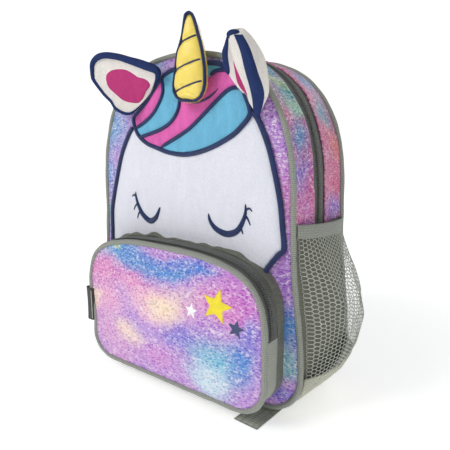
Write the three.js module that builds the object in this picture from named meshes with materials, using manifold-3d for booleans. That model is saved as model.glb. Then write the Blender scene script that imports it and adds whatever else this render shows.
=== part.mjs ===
// Kids animal backpack: a small day pack with a plush face, a stuffed horn and two cupped ears.
// Millimetres, +Z up. The front faces -Y and +X is to the right as one looks at the front.
// The origin is the middle of the flat base, on the ground.
import * as THREE from 'three';
import { mergeVertices } from 'three/addons/utils/BufferGeometryUtils.js';
import Module from 'manifold-3d';

const wasm = await Module();
wasm.setup();

// Gap between pieces that are sewn or laid together
const clear = 0.35;

// Main bag, measured to the middle of its piping
const body = {
  height: 324, depth: 94, halfShoulder: 117.5, halfHem: 129, corner: 38,
  bandLevel: 173, bandEase: 0.4, archRise: 17, archFullness: 0.69,
  lift: 5, baseHalf: 74, wall: 2, bulge: 5.6, backBulge: 3, crown: 3, domePower: 2.6,
};
const piping = { radius: 2.6, sides: 5 };
const mainZip = { centre: -5.5, width: 20 };

// Front pocket, measured to the middle of its piping
const pocket = {
  halfWidth: 113, bottom: 13.5, top: 148.5, depth: 33, corner: 30, zipEnd: 82,
  fullness: 0.81, bulge: 5.9, flare: 5.5, wall: 2, zipWidth: 17,
};

// Plush face, mane and their embroidered edges
const applique = { thickness: 2, edgeWidth: 4.4, edgeHeight: 2.2 };
const face = { halfWidth: 111, height: 157, tuck: 30 };
const mane = { halfWidth: 70.5, height: 81, aside: 6, drop: 10 };
const eye = {
  span: 38.4, depth: 28.7, stroke: 5, fine: 0.2, lash: 2.2, height: 1.2, apart: 100, aside: 4.2, level: 46.4,
};

// Stuffed horn
const horn = { length: 76, width: 38, depth: 20, aside: 20, drop: 43 };

// Cupped ears
const ear = { length: 76, width: 61, cup: 9, thickness: 5 };
const earCentre = { share: 0.6, start: 0.16, thickness: 1.6, lift: 0.85 };
const earLeft = { aside: -38, drop: 34 };
const earRight = { aside: 70.5, drop: 35 };

// Side pockets of net, between the two piping seams
const sidePocket = {
  bandWidth: 12, bandThickness: 2.4, bandTilt: 6, netThickness: 1.4, belly: 30, boxiness: 3,
  footTop: 42, footRise: 12, footLow: 12, footThickness: 2, curl: 1.3,
  columns: 6, rows: 6, gapShare: 0.84, holeDepth: 12,
};

// Label tab on the pocket's seam
const tab = { height: 37, out: 9, thick: 8, wall: 1.4, level: 50, back: 5 };

// Shoulder straps and haul loop
const strap = {
  padWidth: 44, padThickness: 8, padDrop: 45, padLength: 151, padTurn: 0.15, padTaper: 0.42, bow: 30,
  webWidth: 26, webThickness: 1.4, apart: 60, spread: 150, anchorLevel: 30, anchorApart: 196,
  tailLeft: 70, tailReach: 30, tailAside: 6, tailOut: 24, tailGap: 0.1,
};
const lock = { width: 36, height: 29, thickness: 3, bar: 4, slotWidth: 28.5, gap: 0.9 };
const yoke = { width: 112, height: 13, thickness: 2 };
const haul = { apart: 50, reach: 26, width: 18, thickness: 2.4, sew: 12 };
// Zip sliders with their pulls, on the left where both zips end
const slider = {
  length: 12, width: 9, thickness: 3.2, pull: 24, pullWidth: 6, pullThickness: 1.6, sink: 0.4, above: 4,
};

const colour = {
  print: 0xc3a9d6, piping: 0x8c918a, zip: 0x55575a, lining: 0x8d9080, plush: 0xe9e6ee, navy: 0x1e3778,
  pink: 0xe15fb4, blue: 0x6cb4dc, yellow: 0xe8cd5a, earPink: 0xbe3c82, cream: 0xf1ece0, olive: 0x6c6f64,
  label: 0x3b3c3e, net: 0x9ba095, strap: 0x97999a, webbing: 0xa5a8a3, plastic: 0x4b4d50,
};

const frontPlane = -body.depth / 2;
const backPlane = body.depth / 2;
const pocketPlane = frontPlane - pocket.depth;
const seam = piping.radius + clear;
const archStart = body.bandLevel + body.archRise;
const padTop = body.height - strap.padDrop;

// Curve pieces between (x, z) points
const point = (x, z) => new THREE.Vector2(x, z);
const line = (a, b) => new THREE.LineCurve(a, b);
function quarterRound(a, b, fullness) {
  const upright = point(a.x, a.y + (b.y - a.y) * fullness);
  const level = point(b.x + (a.x - b.x) * fullness, b.y);
  return new THREE.CubicBezierCurve(a, upright, level, b);
}
const roundCorner = (x, z, radius) => new THREE.EllipseCurve(x, z, radius, radius, -Math.PI / 2, 0);

// Stations: the corners of an outline with their outward directions
function withNormals(points) {
  const count = points.length;
  return points.map((p, i) => {
    const before = points[(i + count - 1) % count];
    const after = points[(i + 1) % count];
    const dx = after.x - before.x;
    const dz = after.z - before.z;
    const size = Math.hypot(dx, dz);
    return { x: p.x, z: p.z, nx: dz / size, nz: -dx / size };
  });
}
function symmetricLoop(pieces) {
  const half = [];
  for (const { curve, steps } of pieces) {
    for (let i = half.length ? 1 : 0; i <= steps; i += 1) {
      const p = curve.getPoint(i / steps);
      half.push({ x: p.x, z: p.y });
    }
  }
  const mirrored = half.slice(1, -1).reverse().map((p) => ({ x: -p.x, z: p.z }));
  return withNormals([...half, ...mirrored]);
}
const offset = (stations, out) => withNormals(
  stations.map((s) => ({ x: s.x + s.nx * out, z: s.z + s.nz * out })));
function splineLoop(rows, count) {
  const curve = new THREE.CatmullRomCurve3(rows.map(([x, z]) => new THREE.Vector3(x, 0, z)), true);
  return withNormals(curve.getSpacedPoints(count).slice(0, count).map((p) => ({ x: p.x, z: p.z })));
}

// Outline of the bag, from the middle of the base up the right side to the top
const cornerTop = body.lift + body.corner;
const halfBand = body.halfShoulder + body.bandEase;
const archFoot = point(body.halfShoulder, archStart);
const bodyPieces = [
  { curve: line(point(0, body.lift), point(body.baseHalf, body.lift)), steps: 2 },
  { curve: line(point(body.baseHalf, body.lift), point(body.halfHem - body.corner, body.lift)), steps: 1 },
  { curve: roundCorner(body.halfHem - body.corner, cornerTop, body.corner), steps: 5 },
  {
    curve: new THREE.CubicBezierCurve(
      point(body.halfHem, cornerTop), point(body.halfHem, cornerTop + (body.bandLevel - cornerTop) / 3),
      point(halfBand, body.bandLevel - (body.bandLevel - cornerTop) / 3), point(halfBand, body.bandLevel)),
    steps: 5,
  },
  { curve: line(point(halfBand, body.bandLevel), point(body.halfShoulder, archStart)), steps: 1 },
  { curve: quarterRound(archFoot, point(0, body.height), body.archFullness), steps: 10 },
];
const stepsBefore = (pieces, index) => pieces.slice(0, index).reduce((sum, piece) => sum + piece.steps, 0);
const bodyLoop = symmetricLoop(bodyPieces);
const bandStation = stepsBefore(bodyPieces, 4);
const baseLoop = withNormals(bodyLoop.map((s) => (
  { x: s.x, z: Math.abs(s.x) <= body.baseHalf && s.z <= body.lift ? 0 : s.z })));
const bodyHub = { x: 0, z: (body.height + body.lift) / 2 };

// Outline of the pocket, in the same order
const pocketCorner = point(pocket.halfWidth - pocket.corner, pocket.bottom + pocket.corner);
const pocketZipEnd = point(pocket.halfWidth, pocket.zipEnd);
const pocketPieces = [
  { curve: line(point(0, pocket.bottom), point(pocketCorner.x, pocket.bottom)), steps: 3 },
  { curve: roundCorner(pocketCorner.x, pocketCorner.y, pocket.corner), steps: 5 },
  { curve: line(point(pocket.halfWidth, pocketCorner.y), pocketZipEnd), steps: 2 },
  { curve: quarterRound(pocketZipEnd, point(0, pocket.top), pocket.fullness), steps: 8 },
];
const pocketLoop = symmetricLoop(pocketPieces);
const zipStation = stepsBefore(pocketPieces, 3);
const pocketHub = { x: 0, z: (pocket.top + pocket.bottom) / 2 };

// How far out a point lies between the hub (0) and the outline (1)
function shareOf(loop, hub) {
  return (x, z) => {
    const px = x - hub.x;
    const pz = z - hub.z;
    let share = 0;
    loop.forEach((a, i) => {
      const b = loop[(i + 1) % loop.length];
      const ax = a.x - hub.x;
      const az = a.z - hub.z;
      const bx = b.x - hub.x;
      const bz = b.z - hub.z;
      const turn = ax * bz - az * bx;
      const along = (px * bz - pz * bx) / turn;
      const across = (ax * pz - az * px) / turn;
      if (along >= -1e-9 && across >= -1e-9) share = Math.max(share, along + across);
    });
    return share;
  };
}
const domed = (share) => 1 - Math.min(share, 1) ** body.domePower;

// Outer surface of the front panel, where the face, the mane and the pocket lie
const panelLoop = offset(bodyLoop, -seam);
const panelShare = shareOf(panelLoop, bodyHub);
const frontAt = (x, z) => frontPlane - body.wall / 2 - body.bulge * domed(panelShare(x, z));
const backAt = (x, z) => backPlane + body.wall / 2 + body.backBulge * domed(panelShare(x, z));

// Soft creases pressed into the gusset: up is a share of the body's height, across and spread are
// shares of its depth, deep of its crown
const creases = [
  { side: 1, up: 0.66, across: -0.30, spread: 0.17, deep: 0.53 },
  { side: 1, up: 0.62, across: 0.28, spread: 0.21, deep: 0.73 },
  { side: 1, up: 0.84, across: 0.30, spread: 0.19, deep: 0.47 },
  { side: -1, up: 0.64, across: 0.26, spread: 0.21, deep: 0.67 },
  { side: -1, up: 0.80, across: -0.30, spread: 0.18, deep: 0.47 },
];
function gussetOut(station, y) {
  const swell = body.crown * (1 - (y / backPlane) ** 2);
  const pressed = creases.reduce((sum, crease) => {
    const far = Math.hypot(station.z - crease.up * body.height, y - crease.across * body.depth);
    const near = Math.exp(-((far / (crease.spread * body.depth)) ** 2));
    return Math.sign(station.x) === crease.side ? sum + crease.deep * body.crown * near : sum;
  }, 0);
  return swell - pressed;
}

// A warped three.js geometry made into one closed solid with its faces outwards
function warp(geometry, place) {
  const position = geometry.getAttribute('position');
  for (let k = 0; k < position.count; k += 1) {
    const p = place(position.getX(k), position.getY(k), position.getZ(k), k);
    position.setXYZ(k, p[0], p[1], p[2]);
  }
  return closed(geometry);
}
function closed(geometry) {
  const bare = new THREE.BufferGeometry();
  bare.setAttribute('position', geometry.getAttribute('position'));
  bare.setIndex(geometry.getIndex());
  const merged = mergeVertices(bare, 1e-4);
  const corners = merged.getIndex().array;
  const position = merged.getAttribute('position');
  const a = new THREE.Vector3();
  const b = new THREE.Vector3();
  const c = new THREE.Vector3();
  const kept = [];
  let volume = 0;
  for (let i = 0; i < corners.length; i += 3) {
    const [u, v, w] = corners.slice(i, i + 3);
    if (u !== v && v !== w && w !== u) {
      kept.push(u, v, w);
      a.fromBufferAttribute(position, u);
      b.fromBufferAttribute(position, v);
      c.fromBufferAttribute(position, w);
      volume += a.dot(b.cross(c));
    }
  }
  merged.setIndex(volume < 0 ? kept.toReversed() : kept);
  return merged;
}

// Boolean joins and cuts
function solidOf(geometry) {
  const vertProperties = new Float32Array(geometry.getAttribute('position').array);
  const triVerts = new Uint32Array(geometry.getIndex().array);
  return new wasm.Manifold(new wasm.Mesh({ numProp: 3, vertProperties, triVerts }));
}
function geometryOf(solid) {
  const { vertProperties, triVerts } = solid.getMesh();
  const geometry = new THREE.BufferGeometry();
  geometry.setAttribute('position', new THREE.BufferAttribute(new Float32Array(vertProperties), 3));
  geometry.setIndex(new THREE.BufferAttribute(new Uint32Array(triVerts), 1));
  return geometry;
}
const cut = (whole, ...tools) => geometryOf(
  tools.reduce((solid, tool) => solid.subtract(solidOf(tool)), solidOf(whole)));
const meet = (whole, tool) => geometryOf(solidOf(whole).intersect(solidOf(tool)));
const join = (...parts) => geometryOf(parts.map(solidOf).reduce((sum, part) => sum.add(part)));

// A sheet whose rim follows the stations; layer 0 is its underside and 1 its face
const fineRings = [0, 0.4, 0.7, 0.87, 1];
const coarseRings = [0, 0.55, 1];
function sheet(stations, hub, rings, place) {
  const profile = [...rings.map((r) => point(r, 1)), ...rings.toReversed().map((r) => point(r, 0))];
  const lathe = new THREE.LatheGeometry(profile, stations.length);
  return warp(lathe, (x, y, z, k) => {
    const station = stations[Math.floor(k / profile.length) % stations.length];
    const { x: share, y: layer } = profile[k % profile.length];
    return place(hub.x + (station.x - hub.x) * share, hub.z + (station.z - hub.z) * share, layer, share);
  });
}

// A closed ring round the stations; each corner of its section is { out, y }
function ring(stations, sectionAt) {
  const sides = sectionAt(stations[0]).length;
  const torus = new THREE.TorusGeometry(1, 0.3, sides, stations.length);
  return warp(torus, (x, y, z, k) => {
    const station = stations[(k % (stations.length + 1)) % stations.length];
    const { out, y: depth } = sectionAt(station)[Math.floor(k / (stations.length + 1)) % sides];
    return [station.x + station.nx * out, depth, station.z + station.nz * out];
  });
}
function roundSection(radius, sides, plane) {
  return Array.from({ length: sides }, (_, i) => {
    const angle = ((i + 0.5) / sides) * 2 * Math.PI;
    return { out: radius * Math.cos(angle), y: plane + radius * Math.sin(angle) };
  });
}

// A strip along the stations from first to last, across the lanes, with both ends trimmed
function strip(stations, first, last, lanes, place) {
  const steps = last - first;
  const at = (index) => stations[(index + stations.length) % stations.length];
  const box = new THREE.BoxGeometry(1, 1, 1, steps, lanes, 1);
  return warp(box, (x, y, z) => {
    const i = Math.round((x + 0.5) * steps);
    const here = at(first + i);
    let trimmed = here;
    if (i === 0 || i === steps) {
      const inward = at(first + (i === 0 ? 1 : steps - 1));
      const share = clear / 2 / Math.hypot(inward.x - here.x, inward.z - here.z);
      trimmed = { ...here, x: here.x + (inward.x - here.x) * share, z: here.z + (inward.z - here.z) * share };
    }
    return place(trimmed, y + 0.5, z + 0.5);
  });
}

// A flat prism through the front, cut to an outline of (x, z) points
function prism(points, y, depth) {
  const shape = new THREE.Shape(points.map((p) => point(p.x, p.z)));
  const solid = new THREE.ExtrudeGeometry(shape, { depth, bevelEnabled: false });
  solid.rotateX(Math.PI / 2);
  solid.translate(0, y, 0);
  return closed(solid);
}

// A flat ribbon along a curve, with its width along across
function ribbon(points, {
  width, thickness, stepsEach, lanes = 1, across = [1, 0, 0], widthAt = () => 1, fullAt = () => 1,
}) {
  const curve = new THREE.CatmullRomCurve3(points.map((p) => new THREE.Vector3(...p)), false, 'centripetal');
  const side = new THREE.Vector3(...across).normalize();
  const box = new THREE.BoxGeometry(1, 1, 1, stepsEach * (points.length - 1), lanes, 1);
  return warp(box, (x, y, z) => {
    const along = x + 0.5;
    const tangent = curve.getTangent(along);
    const flat = side.clone().addScaledVector(tangent, -side.dot(tangent)).normalize();
    const normal = new THREE.Vector3().crossVectors(tangent, flat);
    const p = curve.getPoint(along);
    p.addScaledVector(flat, y * width * widthAt(along));
    p.addScaledVector(normal, z * thickness * fullAt(y * 2));
    return p.toArray();
  });
}

const group = new THREE.Group();
function add(name, geometry, color, roughness = 0.85, metalness = 0) {
  const mesh = new THREE.Mesh(geometry, new THREE.MeshStandardMaterial({ color, roughness, metalness }));
  mesh.name = name;
  group.add(mesh);
}

// Body panels and piping
add('front_panel', sheet(panelLoop, bodyHub, fineRings, (x, z, layer, share) => (
  [x, frontPlane - body.bulge * domed(share) + body.wall * (0.5 - layer), z])), colour.print, 0.5);
add('back_panel', sheet(panelLoop, bodyHub, coarseRings, (x, z, layer, share) => (
  [x, backPlane + body.backBulge * domed(share) + body.wall * (layer - 0.5), z])), colour.lining);
const pipingRound = (loop, plane) => ring(loop, () => roundSection(piping.radius, piping.sides, plane));
add('front_piping', pipingRound(bodyLoop, frontPlane), colour.piping);
add('back_piping', pipingRound(bodyLoop, backPlane), colour.piping);

// Gusset strips over the top, from one net pocket to the other
function gussetStrip(loop, first, last, from, to, lanes) {
  return strip(loop, first, last, lanes, (station, v, layer) => {
    const y = from + (to - from) * v;
    const out = gussetOut(station, y) - body.wall * (1 - layer);
    return [station.x + station.nx * out, y, station.z + station.nz * out];
  });
}
const zipFront = mainZip.centre - mainZip.width / 2;
const zipBack = mainZip.centre + mainZip.width / 2;
const otherBand = bodyLoop.length - bandStation;
const overTop = (from, to, lanes) => gussetStrip(bodyLoop, bandStation, otherBand, from, to, lanes);
add('gusset_front', overTop(frontPlane + seam, zipFront - clear, 2), colour.print, 0.5);
add('main_zip', overTop(zipFront, zipBack, 2), colour.zip, 0.6);
add('gusset_back', overTop(zipBack + clear, backPlane - seam, 2), colour.print, 0.5);

// Lower gusset: both lower sides and the flat base in one strip
const flatShare = (station) => (station.z <= 0 ? 0 : Math.min(1, station.z / cornerTop));
add('side_gusset', strip(baseLoop, otherBand, bodyLoop.length + bandStation, 4, (station, v, layer) => {
  const y = frontPlane + seam + (backPlane - frontPlane - 2 * seam) * v;
  const out = gussetOut(station, y) * flatShare(station) - body.wall * (1 - layer);
  return [station.x + station.nx * out, y, station.z + station.nz * out];
}), colour.lining);

// Front pocket
const pocketInner = offset(pocketLoop, -seam);
const pocketSurface = (share) => pocketPlane - pocket.bulge * domed(share);
add('pocket_front', sheet(pocketInner, pocketHub, fineRings, (x, z, layer, share) => (
  [x, pocketSurface(share) + pocket.wall * (0.5 - layer), z])), colour.print, 0.5);
add('pocket_piping', pipingRound(pocketLoop, pocketPlane), colour.piping);
const pocketZipFront = pocketPlane + seam;
const pocketZipBack = pocketZipFront + pocket.zipWidth;
const flareAt = (station, y) => pocket.flare * Math.max(0, station.nz) * ((y - pocketPlane) / pocket.depth);
const pocketBand = (first, last) => strip(pocketLoop, first, last, 1, (station, v, layer) => {
  const y = pocketZipFront + pocket.zipWidth * v;
  const out = flareAt(station, y) - pocket.wall * (1 - layer);
  return [station.x + station.nx * out, y, station.z + station.nz * out];
});
const otherZip = pocketLoop.length - zipStation;
add('pocket_zip', pocketBand(zipStation, otherZip), colour.zip, 0.6);
add('pocket_webbing', pocketBand(otherZip, pocketLoop.length + zipStation), colour.webbing);
add('pocket_gusset', ring(pocketLoop, (station) => {
  const near = pocketZipBack + clear;
  const far = frontAt(station.x, station.z) - clear;
  const outNear = flareAt(station, near);
  const outFar = flareAt(station, far);
  return [
    { out: outNear, y: near }, { out: outFar, y: far },
    { out: outFar - pocket.wall, y: far }, { out: outNear - pocket.wall, y: near },
  ];
}), colour.olive);
const pocketFoot = withNormals(pocketLoop.map((s) => {
  const out = flareAt(s, frontPlane) + clear;
  return { x: s.x + s.nx * out, z: s.z + s.nz * out };
}));
const deep = body.depth;
const pocketCutter = prism(pocketFoot, 0, deep);

// Outline tables: x as shares of the half width, z as shares of the height
const maneRows = [
  [-1, 0.41], [-0.88, 0.51], [-0.71, 0.63], [-0.57, 0.77], [-0.44, 0.88], [-0.3, 0.945], [-0.12, 0.97],
  [0.1, 0.985], [0.32, 1], [0.5, 0.985], [0.67, 0.93], [0.78, 0.86], [0.9, 0.69], [1, 0.5], [0.97, 0.38],
  [0.82, 0.2], [0.67, 0.14], [0.24, 0.025], [-0.01, 0], [-0.29, 0.025], [-0.51, 0.07], [-0.74, 0.13],
  [-0.92, 0.24],
];
const maneLow = body.height - mane.drop - mane.height;
const maneAt = ([x, z]) => [mane.aside + x * mane.halfWidth, maneLow + z * mane.height];
const maneLoop = splineLoop(maneRows.toReversed().map(maneAt), 44);
const maneHub = { x: mane.aside, z: maneLow + mane.height / 2 };
const faceRows = [
  [0, 0], [0.8, 0.02], [0.85, 0.11], [0.95, 0.21], [1, 0.25], [0.985, 0.37], [0.96, 0.51], [0.91, 0.66],
  [0.85, 0.8], [0.76, 0.93], [0.7, 0.98], [0.5, 0.95], [0, 0.9], [-0.4, 0.9], [-0.61, 0.88], [-0.68, 0.83],
  [-0.78, 0.71], [-0.85, 0.58], [-0.92, 0.44], [-0.965, 0.33], [-0.975, 0.2], [-0.97, 0.08], [-0.85, 0.01],
];
const faceLow = pocket.top - face.tuck;
const faceAt = ([x, z]) => [x * face.halfWidth, faceLow + z * face.height];
const faceLoop = splineLoop(faceRows.map(faceAt), 48);
const faceHub = { x: 0, z: faceLow + face.height * 0.45 };

// Pieces laid on the front panel
const onFront = (lift, thickness) => (x, z, layer) => [x, frontAt(x, z) - lift - thickness * layer, z];
const halfEdge = applique.edgeWidth / 2;
const edgeCrown = 0.6;
const edgeSection = (station) => [-halfEdge, halfEdge].flatMap((out, i) => {
  const y = frontAt(station.x + station.nx * out, station.z + station.nz * out) - clear;
  const back = { out, y };
  const front = { out: out * edgeCrown, y: y - applique.edgeHeight };
  return i ? [front, back] : [back, front];
});
const maneEdgeCutter = prism(offset(maneLoop, halfEdge + clear), 0, deep);
add('face_panel', cut(sheet(offset(faceLoop, -halfEdge - clear), faceHub, fineRings,
  onFront(clear, applique.thickness)), maneEdgeCutter, pocketCutter), colour.plush, 0.95);
const faceRing = cut(ring(faceLoop, edgeSection), maneEdgeCutter, pocketCutter);
const halfSpace = (side) => prism([
  { x: 0, z: 0 }, { x: side * 2 * face.halfWidth, z: 0 },
  { x: side * 2 * face.halfWidth, z: body.height }, { x: 0, z: body.height },
], 0, deep);
add('face_edge_left', meet(faceRing, halfSpace(-1)), colour.navy);
add('face_edge_right', meet(faceRing, halfSpace(1)), colour.navy);
add('mane_edge', ring(maneLoop, edgeSection), colour.navy);

// The mane's four locks, parted by three swept lines in the same shares
const partings = {
  outer: [[-0.45, 1.1], [-0.42, 0.7], [-0.57, 0.5], [-0.76, 0.38], [-1.2, 0.2]],
  middle: [[-0.15, 1.1], [-0.1, 0.62], [-0.2, 0.42], [-0.42, 0.3], [-0.83, 0.2], [-1.2, 0.02]],
  inner: [
    [1.2, 0.72], [0.83, 0.73], [0.67, 0.71], [0.57, 0.64], [0.3, 0.45], [0.07, 0.3], [-0.2, 0.18],
    [-0.47, 0.1], [-0.7, -0.2],
  ],
};
const partGap = clear * 0.7;
const partLine = (rows, way) => new THREE.SplineCurve(rows.map((row) => point(...maneAt(row))))
  .getPoints(rows.length * 2).map((p) => ({ x: p.x + way * partGap, z: p.y - way * partGap }));
const before = (rows) => partLine(rows, -1);
const after = (rows) => partLine(rows, 1).toReversed();
const farCorner = (row) => {
  const [x, z] = maneAt(row);
  return { x, z };
};
const maneSheet = sheet(offset(maneLoop, -halfEdge - clear), maneHub, coarseRings,
  onFront(clear, applique.thickness));
const lockRegions = {
  mane_pink_left: [...before(partings.outer), farCorner([-1.6, 1.4])],
  mane_blue_left: [...before(partings.middle), ...after(partings.outer)],
  mane_pink_right: [...before(partings.inner), ...after(partings.middle), farCorner([1.4, 1.4])],
  mane_blue_right: [...after(partings.inner), farCorner([1.4, -0.4])],
};
for (const [name, region] of Object.entries(lockRegions)) {
  add(name, meet(maneSheet, prism(region, 0, deep)), name.includes('pink') ? colour.pink : colour.blue, 0.95);
}

// Closed eyes: a tapered crescent and three lashes, embroidered on the face. Rows run from the
// inner end, x as a share of the half span and z of the depth
const lidRows = [
  [-1, 0.57], [-0.8, 0.27], [-0.45, 0.07], [-0.05, 0], [0.5, 0.15], [0.83, 0.48], [0.97, 0.75], [1, 1],
];
const lashRows = [
  { from: [0.94, 0.82], to: [1.32, 0.785] }, { from: [0.86, 0.62], to: [1.24, 0.32] },
  { from: [0.6, 0.33], to: [0.9, 0.02] },
];
const lidSteps = 12;
function eyeShape(side) {
  const middle = eye.aside + side * eye.apart / 2;
  const at = ([x, z]) => point(middle + side * x * eye.span / 2, faceLow + eye.level + z * eye.depth);
  const beside = (p, way, out) => ({ x: p.x - way.y * out, z: p.y + way.x * out });
  const lid = new THREE.SplineCurve(lidRows.map(at));
  const shares = Array.from({ length: lidSteps + 1 }, (_, i) => i / lidSteps);
  const lidSide = (sign) => shares.map((t) => {
    const half = eye.stroke * (eye.fine + (1 - eye.fine) * Math.sin(Math.PI * t)) / 2;
    return beside(lid.getPoint(t), lid.getTangent(t), sign * half);
  });
  const outlines = [[...lidSide(-1), ...lidSide(1).toReversed()]];
  for (const { from, to } of lashRows) {
    const root = at(from);
    const tip = at(to);
    const way = tip.clone().sub(root).normalize();
    const [wide, narrow] = [eye.lash / 2, eye.lash / 4];
    outlines.push([
      beside(root, way, -wide), beside(tip, way, -narrow), beside(tip, way, narrow), beside(root, way, wide),
    ]);
  }
  const pieces = outlines.map((outline) => warp(prism(outline, 0, 1), (x, y, z) => (
    [x, frontAt(x, z) - 2 * clear - applique.thickness + eye.height * y, z])));
  return join(...pieces);
}
add('eye_left', eyeShape(-1), colour.navy, 0.6);
add('eye_right', eyeShape(1), colour.navy, 0.6);

// Stuffed horn in front of the mane; rows are shares of its length and width
const hornRows = [
  { up: 0, wide: 0 }, { up: 0.02, wide: 0.42 }, { up: 0.08, wide: 0.84 }, { up: 0.18, wide: 1 },
  { up: 0.36, wide: 0.95 }, { up: 0.52, wide: 0.8 }, { up: 0.68, wide: 0.6 }, { up: 0.84, wide: 0.38 },
  { up: 0.96, wide: 0.2 }, { up: 1, wide: 0 },
];
const hornLow = body.height - horn.drop;
const hornSeat = frontAt(horn.aside, hornLow) + clear - applique.edgeHeight - horn.depth / 2;
const hornBlank = new THREE.LatheGeometry(hornRows.map((row) => point(row.wide, row.up)), 14);
add('horn', warp(hornBlank, (x, y, z) => [
  horn.aside + x * horn.width / 2, hornSeat + z * horn.depth / 2, hornLow + y * horn.length,
]), colour.yellow, 0.5);

// Cupped ears, rooted along the mane's edge; the leaf outline is in shares of half width and length
const leafRows = [
  [-0.86, 0.03], [-0.4, 0.01], [0.4, 0.01], [0.86, 0.03], [0.97, 0.28], [0.87, 0.58], [0.55, 0.87], [0, 1],
  [-0.55, 0.87], [-0.87, 0.58], [-0.97, 0.28],
];
const leafMiddle = 0.45;
const earSides = [
  { name: 'ear_left', ...earLeft, root: [0.71, 0, 0.71], along: [-0.94, -0.13, 0.31], facing: [0.1, -1, 0] },
  {
    name: 'ear_right', ...earRight,
    root: [-0.66, 0, 0.75], along: [0.62, -0.68, 0.40], facing: [-0.49, -0.72, -0.43],
  },
];
const unit = (v) => new THREE.Vector3(...v).normalize();
for (const { name, aside, drop, root, along, facing } of earSides) {
  const level = body.height - drop;
  const rootEnd = unit(root).multiplyScalar(ear.width / 2);
  const front = Math.min(...[-1, 0, 1].map((a) => frontAt(aside + a * rootEnd.x, level + a * rootEnd.z)));
  const seat = new THREE.Vector3(aside, front - applique.edgeHeight, level);
  const leaf = (share, start, lift, thickness) => {
    const loop = splineLoop(leafRows.map(([a, b]) => [a * share, start + b * share]), 16);
    return sheet(loop, { x: 0, z: start + leafMiddle * share }, coarseRings, (a, b, layer) => {
      const p = seat.clone().addScaledVector(unit(root), a * ear.width / 2);
      p.addScaledVector(unit(along), b * ear.length);
      return p.addScaledVector(unit(facing), ear.cup * a * a + lift + thickness * layer).toArray();
    });
  };
  add(name, leaf(1, 0, 0, ear.thickness), colour.cream, 0.95);
  const { share, start, lift, thickness } = earCentre;
  add(`${name}_centre`, leaf(share, start, ear.thickness + lift, thickness), colour.earPink, 0.9);
}

// Side pockets: band, net and foot share one bellied surface
const bellyRows = [
  { up: 0, out: 0.06 }, { up: 0.08, out: 0.14 }, { up: 0.19, out: 0.42 }, { up: 0.32, out: 0.72 },
  { up: 0.5, out: 0.97 }, { up: 0.61, out: 1 }, { up: 0.75, out: 0.76 }, { up: 0.93, out: 0.28 },
  { up: 1.05, out: 0.16 },
];
const rightSide = bodyLoop.slice(0, stepsBefore(bodyPieces, 5) + 1);
function sideAt(z) {
  const index = Math.max(1, rightSide.findIndex((s, i) => i > stepsBefore(bodyPieces, 2) && s.z >= z));
  const [low, high] = [rightSide[index - 1], rightSide[index]];
  return low.x + (high.x - low.x) * ((z - low.z) / (high.z - low.z));
}
function bellyAt(z) {
  const up = (z - sidePocket.footLow) / (body.bandLevel - sidePocket.footLow);
  const index = Math.max(1, bellyRows.findIndex((row) => row.up >= up));
  const [low, high] = [bellyRows[index - 1], bellyRows[index]];
  return low.out + (high.out - low.out) * ((up - low.up) / (high.up - low.up));
}
const pocketFront = frontPlane + seam;
const pocketBack = backPlane - seam;
const pocketLift = clear * 1.5;
function bellied(side, thickness, level) {
  return (a, b, layer) => {
    const y = pocketFront + (pocketBack - pocketFront) * a;
    const z = level(a, b);
    const full = 1 - 0.98 * Math.abs(2 * a - 1) ** sidePocket.boxiness;
    const swell = body.crown * (1 - (y / backPlane) ** 2) * Math.min(1, z / cornerTop);
    const curl = sidePocket.curl * Math.max(0, 1 - 1.2 * (z - sidePocket.footLow) / body.corner);
    const out = sidePocket.belly * full * bellyAt(z) + pocketLift + curl;
    return [side * (sideAt(z) + swell + out + thickness * layer), y, z];
  };
}
const bandTop = (a) => body.bandLevel + sidePocket.bandTilt * (1 - a);
const bandBottom = (a) => bandTop(a) - sidePocket.bandWidth;
const footTop = (a) => sidePocket.footTop + sidePocket.footRise * a;
const between = (low, high) => (a, b) => low(a) + (high(a) - low(a)) * b;
function sidePatch(place, lanes, rows) {
  return warp(new THREE.BoxGeometry(1, 1, 1, lanes, rows, 1), (x, y, z) => place(x + 0.5, y + 0.5, z + 0.5));
}
function netHoles(place) {
  const holes = [];
  const radius = sidePocket.gapShare / 2;
  for (let row = 0; row < sidePocket.rows; row += 1) {
    for (let column = 0; column < sidePocket.columns; column += 1) {
      const hole = new THREE.CylinderGeometry(radius, radius, sidePocket.holeDepth, 4);
      holes.push(warp(hole, (x, y, z) => (
        place((column + 0.5 + x) / sidePocket.columns, (row + 0.5 + z) / sidePocket.rows, y + 0.5))));
    }
  }
  return holes;
}
for (const [word, side] of [['left', -1], ['right', 1]]) {
  const bandPlace = bellied(side, sidePocket.bandThickness, between(bandBottom, bandTop));
  const footPlace = bellied(side, sidePocket.footThickness, between(() => sidePocket.footLow, footTop));
  const netLevel = between((a) => footTop(a) + clear, (a) => bandBottom(a) - clear);
  const netPlace = bellied(side, sidePocket.netThickness, netLevel);
  const netSheet = sidePatch(netPlace, sidePocket.columns, sidePocket.rows);
  add(`band_${word}`, sidePatch(bandPlace, 8, 1), colour.piping);
  add(`net_${word}`, cut(netSheet, ...netHoles(netPlace)), colour.net);
  add(`foot_${word}`, sidePatch(footPlace, 8, 4), colour.lining);
}

// Folded tab, sewn into the left seam of the pocket and open at both ends
const tabOval = (path, inset) => (
  path.absellipse(0, 0, tab.out / 2 - inset, tab.thick / 2 - inset, 0, 2 * Math.PI));
const tabShape = tabOval(new THREE.Shape(), 0);
tabShape.holes.push(tabOval(new THREE.Path(), tab.wall));
const tabBlank = new THREE.ExtrudeGeometry(tabShape, {
  depth: tab.height, bevelEnabled: false, curveSegments: 6,
});
tabBlank.translate(-pocket.halfWidth - clear - tab.out / 2, pocketPlane + piping.radius + tab.back, tab.level);
add('label_tab', closed(tabBlank), colour.label, 0.7);

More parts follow.
